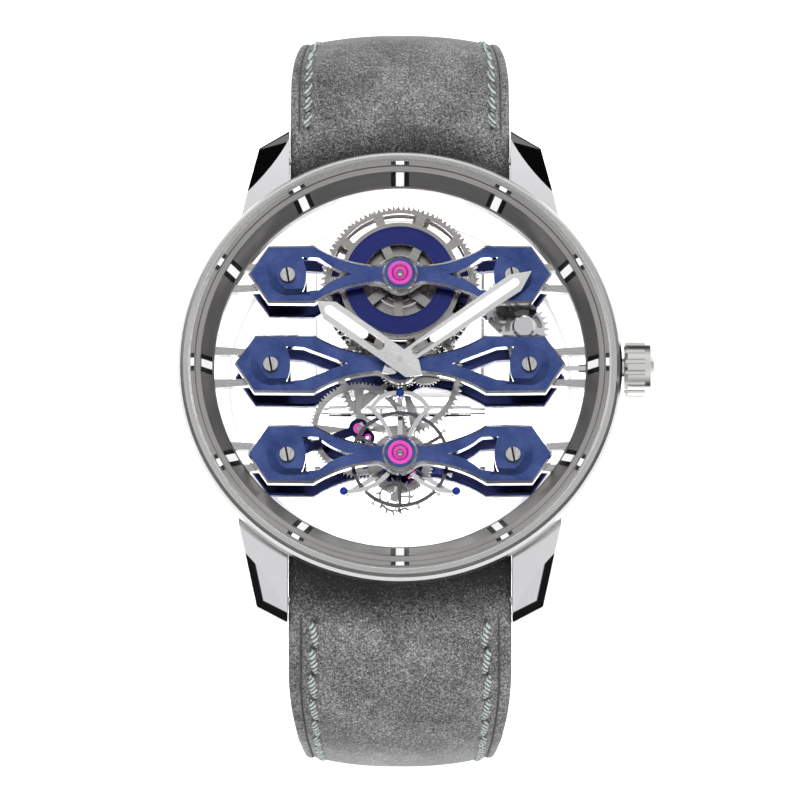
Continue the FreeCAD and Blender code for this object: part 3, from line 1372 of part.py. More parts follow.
for piece_name, piece_shape in PIECES.items():
    solids = piece_shape.Solids
    print(piece_name, len(solids), round(piece_shape.Volume, 2), piece_shape.isValid())
    piece_shape.exportStep("parts/" + piece_name + ".step")
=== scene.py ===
"""Looks of the skeleton wristwatch: materials, padded strap with its stitching, lights and camera."""
import bpy
import bmesh
import json
import math
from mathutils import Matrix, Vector

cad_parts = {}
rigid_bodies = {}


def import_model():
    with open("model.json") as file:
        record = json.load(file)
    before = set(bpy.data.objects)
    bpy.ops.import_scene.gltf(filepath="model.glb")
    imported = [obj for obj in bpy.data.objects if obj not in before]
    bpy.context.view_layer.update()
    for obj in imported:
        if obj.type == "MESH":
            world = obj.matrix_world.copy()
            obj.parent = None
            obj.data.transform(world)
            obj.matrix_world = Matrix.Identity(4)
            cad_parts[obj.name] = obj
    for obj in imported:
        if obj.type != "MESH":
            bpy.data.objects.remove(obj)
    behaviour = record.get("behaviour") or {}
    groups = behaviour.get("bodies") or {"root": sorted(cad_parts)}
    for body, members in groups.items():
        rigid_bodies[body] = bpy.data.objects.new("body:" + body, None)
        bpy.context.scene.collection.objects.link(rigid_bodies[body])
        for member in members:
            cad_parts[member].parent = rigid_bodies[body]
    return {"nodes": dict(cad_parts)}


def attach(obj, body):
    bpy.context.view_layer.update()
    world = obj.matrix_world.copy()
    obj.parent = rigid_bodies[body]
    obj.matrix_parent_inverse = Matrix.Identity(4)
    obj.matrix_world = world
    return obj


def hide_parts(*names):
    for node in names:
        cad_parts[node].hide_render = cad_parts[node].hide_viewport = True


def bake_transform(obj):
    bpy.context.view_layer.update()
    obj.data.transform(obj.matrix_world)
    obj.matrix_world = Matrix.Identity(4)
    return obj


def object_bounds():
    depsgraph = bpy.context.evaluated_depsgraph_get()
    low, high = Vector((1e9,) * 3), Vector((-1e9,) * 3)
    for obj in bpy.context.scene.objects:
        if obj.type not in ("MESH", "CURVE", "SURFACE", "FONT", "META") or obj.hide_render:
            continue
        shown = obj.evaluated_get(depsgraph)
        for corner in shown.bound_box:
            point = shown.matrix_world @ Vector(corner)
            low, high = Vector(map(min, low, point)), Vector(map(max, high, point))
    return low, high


for old in list(bpy.data.objects):
    bpy.data.objects.remove(old)
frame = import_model()
cad_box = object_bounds()
nodes = frame["nodes"]
MM = 0.001

# ---------------------------------------------------------------- sizes shared with the CAD part, in mm
BAR_Y = 22.7
BAR_Z = 3.2
SHOULDER_12_R = 12.5
SHOULDER_6_R = 9.5
SHOULDER_FROM_BAR = 2.2
LOOP_12_R = 40.0
LOOP_12_END_DEG = 66.0
STRAP_HALF_T = 1.8
CASE_BORE_R = 18.75
BACK_SEAT_Z = 1.35
FRONT_TOP = 9.4
POCKET_DEPTH = 0.42
SCREW_HEAD_T = 0.36
BARREL = (0.0, 9.2)
CAGE = (0.0, -9.2)
LUG_TIP = (11.1, 25.25)
LUG_CORNER = (14.12, 23.6)
LUG_ROOT = (15.95, 15.5)
LUG_FACET = (0.315, 0.363, 0.877)

# ---------------------------------------------------------------- sizes of the finishes and of the painted light on them, in mm
PLY_PITCH = 0.62
JEWEL_RINGS_R = 1.0
# black rims on the lug facets: black polish with painted dark reflection; the wider rim and the sliver at 12
# are painted reflection
BLACK_RIM_6 = 0.75
BLACK_RIM_12 = 2.6
SLIVER_FROM_TIP = 0.12
SLIVER_SLOPE = 0.30

# ---------------------------------------------------------------- colours
WHITE = (1.0, 1.0, 1.0)
# black polish with painted dark reflection, on the lug facets
BLACK_POLISH_AND_REFLECTION = (0.012, 0.012, 0.013)
BARE_BEVEL = (0.92, 0.92, 0.94)
TITANIUM = (0.40, 0.39, 0.38)
# painted shade in the strap's groove and stitch dimples
CREASE_SHADE_GREY = (0.035, 0.035, 0.037)


# ================================================================ material helpers
class Surface:
    """A procedural material whose noise lives in the piece's own coordinates, in millimetres."""

    def __init__(self, name, colour, metallic, roughness):
        self.material = bpy.data.materials.new(name)
        self.material.use_nodes = True
        self.tree = self.material.node_tree
        self.shader = self.tree.nodes["Principled BSDF"]
        self.output = self.tree.nodes["Material Output"]
        self.set("Base Color", (*colour, 1.0))
        self.set("Metallic", metallic)
        self.set("Roughness", roughness)
        self.colour = colour
        self.roughness = roughness
        self.bump_from = None

    def set(self, socket, value):
        self.shader.inputs[socket].default_value = value

    def feed(self, socket, value):
        self.link(value, self.shader.inputs[socket])

    def glow(self, colour, strength):
        """A little light of its own, a painted glow for paint and thin pale pieces."""
        self.set("Emission Color", (*colour, 1.0))
        self.set("Emission Strength", strength)

    def node(self, kind, **values):
        made = self.tree.nodes.new(kind)
        for key, value in values.items():
            setattr(made, key, value)
        return made

    def link(self, a, b):
        self.tree.links.new(a, b)

    def math(self, operation, *values):
        made = self.node("ShaderNodeMath", operation=operation)
        for socket, value in zip(made.inputs, values):
            if isinstance(value, (int, float)):
                socket.default_value = value
            else:
                self.link(value, socket)
        return made.outputs[0]

    def weighted(self, *terms):
        """Sum of values, each times its weight."""
        total = None
        for value, weight in terms:
            part = self.math("MULTIPLY", value, weight)
            total = part if total is None else self.math("ADD", total, part)
        return total

    def length(self, x, y):
        return self.math("SQRT", self.math("ADD", self.math("MULTIPLY", x, x), self.math("MULTIPLY", y, y)))

    def place(self, scale=(1000.0, 1000.0, 1000.0), shift=(0.0, 0.0, 0.0)):
        """Object coordinates scaled, by default to millimetres."""
        where = self.node("ShaderNodeTexCoord")
        mapping = self.node("ShaderNodeMapping")
        self.link(where.outputs["Object"], mapping.inputs["Vector"])
        mapping.inputs["Scale"].default_value = scale
        mapping.inputs["Location"].default_value = shift
        return mapping.outputs["Vector"]

    def normal(self):
        """The surface's own normal, in object coordinates."""
        return self.node("ShaderNodeTexCoord").outputs["Normal"]

    def split(self, vector):
        made = self.node("ShaderNodeSeparateXYZ")
        self.link(vector, made.inputs[0])
        return made.outputs[0], made.outputs[1], made.outputs[2]

    def noise(self, vector, scale=1.0, detail=2.0, rough=0.5, distortion=0.0):
        made = self.node("ShaderNodeTexNoise")
        self.link(vector, made.inputs["Vector"])
        made.inputs["Scale"].default_value = scale
        made.inputs["Detail"].default_value = detail
        made.inputs["Roughness"].default_value = rough
        made.inputs["Distortion"].default_value = distortion
        return made.outputs["Fac"]

    def span(self, value, low, high, to_low=0.0, to_high=1.0):
        """The value mapped from low..high to to_low..to_high, and held at both ends."""
        made = self.node("ShaderNodeMapRange")
        self.link(value, made.inputs["Value"])
        for key, number in (("From Min", low), ("From Max", high), ("To Min", to_low), ("To Max", to_high)):
            made.inputs[key].default_value = number
        return made.outputs["Result"]

    def ramp(self, value, stops):
        made = self.node("ShaderNodeValToRGB")
        self.link(value, made.inputs["Fac"])
        fill_ramp(made.color_ramp, stops)
        return made.outputs["Color"]

    def mix(self, factor, a, b):
        made = self.node("ShaderNodeMix", data_type="RGBA")
        self.link(factor, made.inputs[0])
        for socket, value in ((made.inputs[6], a), (made.inputs[7], b)):
            if isinstance(value, tuple):
                socket.default_value = (*value, 1.0)
            else:
                self.link(value, socket)
        return made.outputs[2]

    def bump(self, height, strength, distance_mm):
        made = self.node("ShaderNodeBump")
        made.inputs["Strength"].default_value = strength
        made.inputs["Distance"].default_value = distance_mm * MM
        self.link(height, made.inputs["Height"])
        self.feed("Normal", made.outputs["Normal"])

    def brushed_line(self):
        """Straight brushing along X."""
        self.brush_with(self.noise(self.place((900.0, 22000.0, 22000.0)), 1.0, 3.0, 0.6))

    def brushed_circle(self, centre=(0.0, 0.0)):
        """Turned finish round a vertical axis."""
        x, y, z = self.split(self.place(shift=(-centre[0], -centre[1], 0.0)))
        rings_per_mm = 14.0
        lines_per_radian = 2.5
        joined = self.node("ShaderNodeCombineXYZ")
        self.link(self.math("MULTIPLY", self.length(x, y), rings_per_mm), joined.inputs[0])
        self.link(self.math("MULTIPLY", z, rings_per_mm), joined.inputs[1])
        self.link(self.math("MULTIPLY", self.math("ARCTAN2", y, x), lines_per_radian), joined.inputs[2])
        self.brush_with(self.noise(joined.outputs[0], 1.0, 3.0, 0.6))

    def brush_with(self, lines):
        """Fine lines in colour, roughness and height."""
        dark = tuple(channel * 0.88 for channel in self.colour)
        light = tuple(min(1.0, channel * 1.12) for channel in self.colour)
        self.feed("Base Color", self.mix(self.span(lines, 0.3, 0.7), dark, light))
        self.feed("Roughness", self.span(lines, 0.25, 0.75, self.roughness * 0.82, self.roughness * 1.2))
        self.bump(lines, 0.25, 0.004)

    def polished(self):
        """Near-mirror finish with faint handling marks."""
        marks = self.noise(self.place(), 0.5, 4.0, 0.6)
        self.feed("Roughness", self.span(marks, 0.3, 0.75, self.roughness * 0.7, self.roughness * 1.5))
        dark = tuple(channel * 0.97 for channel in self.colour)
        light = tuple(min(1.0, channel * 1.03) for channel in self.colour)
        self.feed("Base Color", self.mix(marks, dark, light))


def fill_ramp(ramp, stops):
    while len(ramp.elements) < len(stops):
        ramp.elements.new(0.5)
    for element, (at, colour) in zip(ramp.elements, stops):
        element.position = at
        element.color = (*colour, 1.0)


# ================================================================ materials
def metal(name, colour, roughness, finish="polished", **finish_args):
    made = Surface(name, colour, 1.0, roughness)
    getattr(made, finish)(**finish_args)
    return made.material


def coated_bridge(name, colour, light, roughness, silver=True):
    """Coloured satin coating on the flat top and, where silver, bare polished bevels and walls."""
    made = Surface(name, colour, 1.0, roughness)
    fine = made.noise(made.place((2500.0, 16000.0, 16000.0)), 1.0, 3.0, 0.6)
    wide = made.noise(made.place(), 0.45, 2.0, 0.5)
    coat = made.mix(made.span(made.weighted((fine, 0.45), (wide, 0.55)), 0.35, 0.65), colour, light)
    if silver:
        top = made.span(made.split(made.normal())[2], 0.78, 0.84)
        coat = made.mix(top, BARE_BEVEL, coat)
        made.feed("Roughness", made.span(top, 0.0, 1.0, 0.12, roughness))
    made.feed("Base Color", coat)
    made.bump(fine, 0.12, 0.003)
    return made.material


def screw_material(name, head_top):
    """Polished screw with painted shade on its slot floor and flank."""
    made = Surface(name, (0.66, 0.655, 0.65), 1.0, 0.2)
    z = made.split(made.place())[2]
    lit = made.span(z, head_top - 0.09, head_top - 0.03)
    lines = made.noise(made.place((9000.0, 1500.0, 1000.0)), 1.0, 2.0, 0.5)
    bright = made.mix(made.span(lines, 0.3, 0.7), (0.52, 0.515, 0.51), (0.74, 0.735, 0.73))
    # painted shade: all below the head's top is nearly black
    made.feed("Base Color", made.mix(lit, (0.03, 0.03, 0.035), bright))
    return made.material


def jewel_material(name, deep, bright):
    """Polished jewel, with a painted glint and painted light and dark reflection rings of its oil sink round
    the barrel's and the cage's axes, and a painted glow.
    """
    made = Surface(name, bright, 0.0, 0.04)
    x, y, z = made.split(made.place())
    from_axis = made.length(x, made.math("SUBTRACT", made.math("ABSOLUTE", y), BARREL[1]))
    # painted glint at the centre, then painted dark and light reflection rings out to the edge
    rings = made.ramp(made.span(from_axis, 0.0, JEWEL_RINGS_R), [
        (0.0, (0.95, 0.80, 0.90)), (0.12, (0.90, 0.60, 0.80)), (0.20, deep), (0.38, deep),
        (0.50, bright), (0.62, bright), (0.72, deep), (1.0, bright)])
    made.feed("Base Color", rings)
    # painted glow in the same rings
    made.feed("Emission Color", rings)
    made.set("Emission Strength", 0.22)
    made.set("Coat Weight", 1.0)
    made.set("Coat Roughness", 0.02)
    made.set("IOR", 1.76)
    return made.material


def lume_material():
    """White luminous paint, a little grainy, with a painted glow."""
    made = Surface("lume_white_paint", (0.90, 0.91, 0.89), 0.0, 0.55)
    grain = made.noise(made.place(), 9.0, 3.0, 0.6)
    made.feed("Base Color", made.mix(grain, (0.84, 0.85, 0.83), (0.95, 0.96, 0.94)))
    # painted glow: the lume shines though it is no lamp
    made.glow((0.95, 0.97, 0.95), 0.12)
    made.bump(grain, 0.2, 0.01)
    return made.material


def crystal_material():
    """Coated sapphire: clear, with a weak reflection that grows at grazing angles."""
    made = Surface("sapphire_clear", WHITE, 0.0, 0.0)
    clear = made.node("ShaderNodeBsdfTransparent")
    smear = made.noise(made.place(), 0.12, 3.0, 0.5)
    made.link(made.span(smear, 0.3, 0.7, 0.96, 1.0), clear.inputs["Color"])
    gloss = made.node("ShaderNodeBsdfGlossy")
    gloss.inputs["Roughness"].default_value = 0.02
    facing = made.node("ShaderNodeLayerWeight")
    facing.inputs["Blend"].default_value = 0.5
    grazing = made.math("POWER", facing.outputs["Facing"], 4.0)
    mixed = made.node("ShaderNodeMixShader")
    made.link(made.math("MULTIPLY", grazing, 0.45), mixed.inputs[0])
    made.link(clear.outputs[0], mixed.inputs[1])
    made.link(gloss.outputs[0], mixed.inputs[2])
    made.link(mixed.outputs[0], made.output.inputs["Surface"])
    return made.material


def nubuck_material():
    """Finely napped grey leather, with painted shadow of the bezel beside the case and painted shade in the
    groove and where the stitching dents it.
    """
    made = Surface("nubuck_grey", (0.20, 0.20, 0.20), 0.0, 0.95)
    where = made.place()
    cloud = made.noise(where, 0.16, 3.0, 0.5, 0.3)
    patch = made.noise(where, 0.9, 3.0, 0.6)
    grain = made.noise(where, 4.4, 3.0, 0.75)
    fibre = made.noise(where, 8.0, 2.0, 0.7)
    tone = made.weighted((cloud, 0.13), (patch, 0.09), (grain, 0.44), (fibre, 0.34))
    x, y, z = made.split(where)
    # painted shadow of the bezel on the strap's top beside the case
    painted_bezel_shadow = made.span(made.length(x, y), 22.0, 26.5, 0.13, 0.0)
    shade = made.math("MULTIPLY", painted_bezel_shadow, made.span(z, -4.0, 0.0))
    tone = made.math("SUBTRACT", tone, shade)
    colour = made.ramp(made.span(tone, 0.39, 0.61), [
        (0.0, (0.020, 0.020, 0.021)), (0.35, (0.082, 0.083, 0.084)), (0.62, (0.170, 0.171, 0.170)),
        (1.0, (0.42, 0.42, 0.415))])
    # painted shade in the groove and stitch dimples, from the strap's point attribute
    crease_shade = made.node("ShaderNodeAttribute", attribute_name="crease_shade")
    made.feed("Base Color", made.mix(crease_shade.outputs["Fac"], colour, CREASE_SHADE_GREY))
    made.set("Sheen Weight", 0.35)
    made.set("Sheen Roughness", 0.5)
    made.set("Sheen Tint", (0.75, 0.75, 0.76, 1.0))
    made.set("Specular IOR Level", 0.15)
    made.bump(made.weighted((grain, 0.6), (fibre, 0.4)), 0.55, 0.10)
    return made.material


def gasket_material():
    """Pale nylon seal, with a painted glow."""
    made = Surface("gasket_nylon", (0.88, 0.88, 0.87), 0.0, 0.5)
    grain = made.noise(made.place(), 6.0, 2.0, 0.5)
    made.feed("Base Color", made.mix(grain, (0.84, 0.84, 0.83), (0.92, 0.92, 0.91)))
    # painted glow that brightens the seal, though it is no lamp
    made.glow(WHITE, 0.35)
    return made.material


def lining_material():
    """Pale smooth leather with open pores, inside the strap."""
    made = Surface("lining_pale", (0.80, 0.79, 0.77), 0.0, 0.6)
    pores = made.noise(made.place(), 5.0, 3.0, 0.6)
    made.feed("Base Color", made.mix(made.span(pores, 0.35, 0.7), (0.86, 0.86, 0.85), (0.74, 0.73, 0.71)))
    made.set("Specular IOR Level", 0.3)
    made.bump(pores, 0.3, 0.03)
    return made.material


def thread_material():
    """Two-ply waxed thread: painted highlight on the strands and painted shade in the turns between them."""
    made = Surface("thread_grey_green", (0.40, 0.44, 0.43), 0.0, 0.6)
    where = made.place()
    strand = made.noise(where, 14.0, 2.0, 0.5)
    x, y, z = made.split(where)
    along = made.math("ADD", made.math("ADD", made.math("ABSOLUTE", x), y), z)
    turns = made.math("SINE", made.math("MULTIPLY", along, 2 * math.pi / PLY_PITCH))
    tone = made.math("ADD", made.math("MULTIPLY", turns, 0.34), strand)
    # painted highlight on the plies and painted shade between them
    made.feed("Base Color", made.mix(made.span(tone, 0.2, 0.75), (0.055, 0.068, 0.066), (0.47, 0.52, 0.51)))
    made.set("Sheen Weight", 0.2)
    made.bump(turns, 0.5, 0.05)
    return made.material


def beyond_edge(made, x, y, start, end):
    """Distance beyond the straight plan edge that runs from start to end; negative inside the lug."""
    run = math.dist(start, end)
    out_x = (start[1] - end[1]) / run
    out_y = (end[0] - start[0]) / run
    from_x = made.math("SUBTRACT", made.math("ABSOLUTE", x), LUG_CORNER[0])
    from_y = made.math("SUBTRACT", made.math("ABSOLUTE", y), LUG_CORNER[1])
    return made.weighted((from_x, out_x), (from_y, out_y))


def black_facets_and_reflection(made, x, y, folded):
    """Mask of the black polish and painted dark reflection on the lug facets: a rim at 6, wider and with a
    bare sliver at 12, where the difference from 6 is painted reflection.
    """
    along = made.node("ShaderNodeVectorMath", operation="DOT_PRODUCT")
    made.link(folded, along.inputs[0])
    along.inputs[1].default_value = LUG_FACET
    facet = made.span(along.outputs["Value"], 0.996, 0.999)
    # painted reflection: the lugs at 12 take a wider black rim and a bare sliver that the lugs at 6 lack
    at_12 = made.span(y, -0.1, 0.1)
    tip = beyond_edge(made, x, y, LUG_TIP, LUG_CORNER)
    side = beyond_edge(made, x, y, LUG_CORNER, LUG_ROOT)
    depth = made.math("MULTIPLY", made.math("MAXIMUM", tip, side), -1.0)
    over = made.math("SUBTRACT", depth, made.span(at_12, 0.0, 1.0, BLACK_RIM_6, BLACK_RIM_12))
    black = made.math("MULTIPLY", facet, made.span(over, -0.05, 0.05, 1.0, 0.0))
    from_corner = made.math("SUBTRACT", made.math("ABSOLUTE", x), LUG_CORNER[0])
    slope = made.math("SUBTRACT", made.math("ADD", tip, SLIVER_FROM_TIP),
                      made.math("MULTIPLY", from_corner, SLIVER_SLOPE))
    outer = made.span(tip, -SLIVER_FROM_TIP - 0.03, -SLIVER_FROM_TIP + 0.03, 1.0, 0.0)
    sliver = made.math("MULTIPLY", made.math("MULTIPLY", made.span(slope, -0.03, 0.03), outer), at_12)
    return made.math("MULTIPLY", black, made.math("SUBTRACT", 1.0, sliver))


def case_material(name, colour, roughness, bore_low_z):
    """Polished case metal: bore painted near white with a painted glow, brushed grey flanks, black facets on
    the lug ends with painted dark reflection.
    """
    made = Surface(name, colour, 1.0, roughness)
    x, y, z = made.split(made.place())
    # painted light: the bore inside the case is painted near white and glows
    painted_bright_bore = made.math("MULTIPLY", made.span(made.length(x, y), CASE_BORE_R, CASE_BORE_R + 0.05, 1.0, 0.0),
                     made.span(z, bore_low_z - 0.05, bore_low_z))
    fold = made.node("ShaderNodeVectorMath", operation="ABSOLUTE")
    made.link(made.normal(), fold.inputs[0])
    folded = fold.outputs[0]
    marks = made.noise(made.place(), 0.5, 4.0, 0.6)
    plain = made.mix(marks, tuple(c * 0.96 for c in colour), tuple(min(1.0, c * 1.03) for c in colour))
    faceted = made.mix(black_facets_and_reflection(made, x, y, folded), plain, BLACK_POLISH_AND_REFLECTION)
    flank = made.span(made.split(folded)[2], 0.25, 0.45, 1.0, 0.0)
    lines = made.noise(made.place((1500.0, 1500.0, 24000.0)), 1.0, 3.0, 0.6)
    brushed = made.mix(made.span(lines, 0.3, 0.7), (0.24, 0.237, 0.232), (0.33, 0.326, 0.32))
    outside = made.mix(flank, faceted, brushed)
    made.feed("Base Color", made.mix(painted_bright_bore, outside, (0.98, 0.98, 0.98)))
    rough = made.span(marks, 0.3, 0.75, roughness * 0.7, roughness * 1.5)
    made.feed("Roughness", made.math("ADD", rough, made.math("MULTIPLY", flank, 0.2)))
    # painted glow on the bore
    made.set("Emission Color", (*WHITE, 1.0))
    made.feed("Emission Strength", made.math("MULTIPLY", painted_bright_bore, 0.75))
    return made.material


MATERIALS = {
    "case_band": case_material("case_band_polished", (0.80, 0.80, 0.81), 0.09, 0.0),
    "back_ring": case_material("back_ring_polished", (0.60, 0.60, 0.60), 0.16, BACK_SEAT_Z),
    "bezel": metal("bezel_brushed", (0.52, 0.515, 0.505), 0.26, "brushed_circle"),
    "flange": metal("flange_brushed", TITANIUM, 0.34, "brushed_circle"),
    "dark": metal("marker_dark", (0.05, 0.05, 0.055), 0.30, "brushed_line"),
    "lume": lume_material(),
    "crystal": crystal_material(),
    "gasket": gasket_material(),
    "polished": metal("steel_polished", (0.70, 0.70, 0.71), 0.08),
    "screw": screw_material("screw_polished", FRONT_TOP - POCKET_DEPTH + SCREW_HEAD_T),
    "satin": metal("steel_satin", (0.42, 0.415, 0.41), 0.30, "brushed_line"),
    "support": metal("support_satin", (0.50, 0.50, 0.49), 0.25, "brushed_line"),
    "blue": coated_bridge("bridge_blue", (0.044, 0.074, 0.235), (0.105, 0.155, 0.40), 0.33),
    "navy": coated_bridge("bridge_navy", (0.010, 0.013, 0.045), (0.020, 0.026, 0.085), 0.18, silver=False),
    "ring_blue": metal("barrel_blue", (0.035, 0.045, 0.20), 0.3, "brushed_circle", centre=BARREL),
    "wheel_grey": metal("wheel_grey", (0.40, 0.385, 0.37), 0.28, "brushed_circle", centre=BARREL),
    "screw_blue": metal("screw_blue", (0.03, 0.075, 0.42), 0.12),
    "rotor": metal("rotor_dark", (0.10, 0.09, 0.085), 0.25, "brushed_circle", centre=BARREL),
    "balance": metal("balance_dark", (0.13, 0.13, 0.14), 0.18, "brushed_circle", centre=CAGE),
    "ruby": jewel_material("ruby", (0.20, 0.004, 0.115), (0.56, 0.015, 0.34)),
    "pallet": jewel_material("pallet_ruby", (0.45, 0.05, 0.22), (0.75, 0.10, 0.36)),
    "hand": metal("hand_satin", (0.80, 0.80, 0.80), 0.22, "brushed_line"),
    "crown": metal("crown_polished", (0.72, 0.715, 0.70), 0.10),
    "clasp": metal("clasp_polished", (0.40, 0.40, 0.405), 0.16),
    "nubuck": nubuck_material(),
    "lining": lining_material(),
    "thread": thread_material(),
}

FINISH = {
    "case_band": ["case_middle"],
    "back_ring": ["case_back_ring"],
    "bezel": ["bezel"],
    "flange": ["flange_ring"],
    "dark": ["marker_holders"],
    "lume": ["marker_lume", "minute_hand_lume", "hour_hand_lume"],
    "crystal": ["crystal", "case_back_crystal"],
    "gasket": ["case_gaskets"],
    "polished": ["crown_tube", "spring_bars", "mainspring", "barrel_arbor", "crown_wheel",
                 "transmission_wheel", "stem", "winding_pinion", "cage_base", "cage_bridge",
                 "balance_screws", "cannon_pinion", "hour_wheel"],
    "screw": ["bridge_screws"],
    "satin": ["bridge_pillars", "keyless_plate", "centre_wheel", "third_wheel", "fixed_fourth_wheel",
              "escape_wheel", "minute_wheel"],
    "support": ["movement_supports"],
    "blue": ["upper_front_bridge", "middle_front_bridge", "lower_front_bridge"],
    "navy": ["upper_rear_bridge", "middle_rear_bridge", "lower_rear_bridge", "third_wheel_cock"],
    "ring_blue": ["barrel_ring"],
    "wheel_grey": ["barrel_drum", "ratchet_wheel"],
    "screw_blue": ["cage_screws", "hairspring"],
    "rotor": ["micro_rotor"],
    "balance": ["balance_wheel"],
    "ruby": ["front_jewels", "rear_jewels"],
    "pallet": ["pallet_fork"],
    "hand": ["minute_hand", "hour_hand"],
    "crown": ["crown"],
    "clasp": ["clasp_cover", "clasp_long_blade", "clasp_short_blade", "clasp_button_left",
              "clasp_button_right"],
    "nubuck": ["strap_12", "strap_6"],
}
for finish, names in FINISH.items():
    for name in names:
        piece = nodes[name]
        piece.data.materials.clear()
        piece.data.materials.append(MATERIALS[finish])


# ================================================================ strap, in mm
# half the strap's width at rising heights, from its end under the wrist up to the lugs
TAPER = [(-34.0, 9.0), (-18.0, 9.48), (-11.0, 9.68), (-6.5, 9.95), (-2.5, 10.42), (0.0, 10.82), (1.6, 11.02),
         (3.5, 11.06)]
SIDE_CLEAR = 0.04
SHOULDER_STATIONS = 120
LOOP_STATIONS = 150
# the strap is fitted to the round case: its inner end follows this radius between the lugs
FITTED_R = 20.75
FITTED_TOP_Z = 6.35
FITTED_LOW_Z = 2.5
FITTED_SHARES = [(1.0, 0.78), (0.985, 0.92), (0.94, 1.0), (0.82, 1.0), (0.65, 1.0), (0.45, 1.0), (0.3, 1.0),
                 (0.15, 1.0)]
# distances in from the edge where the outer face has a row of points, close at groove and stitches
EDGE_STEPS = [0.0, 0.04, 0.12, 0.22, 0.34, 0.46, 0.58, 0.68, 0.75, 0.81, 0.86, 0.90, 0.94, 0.99, 1.05, 1.14,
              1.26, 1.38, 1.50, 1.60, 1.70, 1.80, 1.90, 2.00, 2.10, 2.22, 2.36, 2.55, 2.8, 3.1]
LINING_EDGE_STEPS = EDGE_STEPS[:14:2]
LINING_STEPS = 11
CENTRE_STEPS = 36
EDGE_ROUND = 0.5
EDGE_H = 0.94
CROWN_H = 1.86
CROWN_FALL = 0.92
LINING_DEPTH = 1.62
GROOVE_AT = 0.90
GROOVE_DEPTH = 0.30
GROOVE_HALF_W = 0.085
STITCH_AT = 1.80
CHANNEL_DEPTH = 0.20
CHANNEL_HALF_W = 0.30
DIMPLE_DEPTH = 0.38
DIMPLE_HALF_L = 0.27
DIMPLE_HALF_W = 0.26
SEWN_TO = 54.0
SEWN_FADE = 0.9
# the thread of one stitch
THREAD_END_R = 0.07
THREAD_SWELL = 0.30
THREAD_FLATNESS = 0.78
THREAD_LIFT = 0.06
THREAD_END_DROP = 0.26
STITCH_LEAN = 0.24
STITCH_OVERLAP = 1.04
STITCH_AROUND = 14
STITCH_ALONG = 17
# name, side, shoulder radius, first stitch, stitch pitch, and how far in the rows stand near the case and
# far from it, as shares of their plain inset
HALVES = (
    ("strap_12", 1, SHOULDER_12_R, 3.2, 1.72, (1.0, 0.95)),
    ("strap_6", -1, SHOULDER_6_R, 2.3, 2.45, (1.42, 0.95)))

END_TURN = math.radians(LOOP_12_END_DEG)
STRAP_END_AT = (
    BAR_Y + SHOULDER_FROM_BAR + SHOULDER_12_R - LOOP_12_R + LOOP_12_R * math.cos(END_TURN),
    BAR_Z - math.sqrt(SHOULDER_12_R ** 2 - SHOULDER_FROM_BAR ** 2) - LOOP_12_R * math.sin(END_TURN))


def rounded_end(station):
    """Stations past the strap's last one, which round its end off."""
    (y, z), normal, at, _ = station
    tangent = (normal[1], -normal[0])
    made = []
    for share in (0.15, 0.3, 0.5, 0.65, 0.8, 0.9, 0.97, 0.995):
        step = STRAP_HALF_T * share
        point = (y + tangent[0] * step, z + tangent[1] * step)
        made.append((point, normal, at + step, math.sqrt(1 - share ** 2)))
    return made


def strap_path(shoulder_r):
    """Stations along the strap: (y, z), outward normal, distance and thickness share."""
    shoulder = (BAR_Y + SHOULDER_FROM_BAR, BAR_Z - math.sqrt(shoulder_r ** 2 - SHOULDER_FROM_BAR ** 2))
    reach = shoulder[0] + shoulder_r - STRAP_END_AT[0]
    drop = shoulder[1] - STRAP_END_AT[1]
    loop_r = (reach ** 2 + drop ** 2) / (2 * reach)
    loop = (shoulder[0] + shoulder_r - loop_r, shoulder[1])
    loop_end = math.degrees(math.atan2(drop, STRAP_END_AT[0] - loop[0]))
    first_turn = 90.0 + math.degrees(math.asin(SHOULDER_FROM_BAR / shoulder_r))
    arcs = [(shoulder, shoulder_r, first_turn, 0.0, SHOULDER_STATIONS),
            (loop, loop_r, 0.0, -loop_end, LOOP_STATIONS)]
    stations = []
    travelled = 0.0
    for (cy, cz), radius, start, end, count in arcs:
        arc_length = radius * math.radians(start - end)
        for index in range(count):
            share = index / (count - 1)
            angle = math.radians(start + (end - start) * share)
            normal = (math.cos(angle), math.sin(angle))
            point = (cy + radius * normal[0], cz + radius * normal[1])
            stations.append((point, normal, travelled + arc_length * share, 1.0))
        travelled += arc_length
    stations.pop(SHOULDER_STATIONS)
    return stations + rounded_end(stations[-1])


def smooth(value, low, high):
    t = max(0.0, min(1.0, (value - low) / (high - low)))
    return t * t * (3 - 2 * t)


def half_width(z):
    """Half the strap's width from its height, as its taper runs."""
    for (low, narrow), (high, wide) in zip(TAPER[:-1], TAPER[1:]):
        if z < high:
            return narrow + (wide - narrow) * max(0.0, z - low) / (high - low)
    return TAPER[-1][1]


def row_scale(at, near, far):
    """How far the stitched rows stand in from the edge, as a share of their plain inset."""
    return near + (far - near) * smooth(at, 2.0, 24.0)


def edge_drop(inset):
    """How much the rounded edge takes off, at a distance in from it."""
    if inset >= EDGE_ROUND:
        return 0.0
    return EDGE_ROUND * (1 - math.sqrt(max(0.0, 1 - ((EDGE_ROUND - inset) / EDGE_ROUND) ** 2)))


def strap_top(inset, w, sewn):
    """Height of the outer face over the strap's middle plane, at a distance in from its edge."""
    across = max(0.0, (w - inset) / (w - GROOVE_AT))
    crown = CROWN_H - CROWN_FALL * min(1.0, across) ** 2.2
    if inset < GROOVE_AT:
        crown = EDGE_H + 0.05 * sewn
    crown -= edge_drop(inset)
    crown -= GROOVE_DEPTH * sewn * math.exp(-((inset - GROOVE_AT) / GROOVE_HALF_W) ** 2)
    crown -= CHANNEL_DEPTH * sewn * math.exp(-((inset - STITCH_AT) / CHANNEL_HALF_W) ** 2)
    return crown


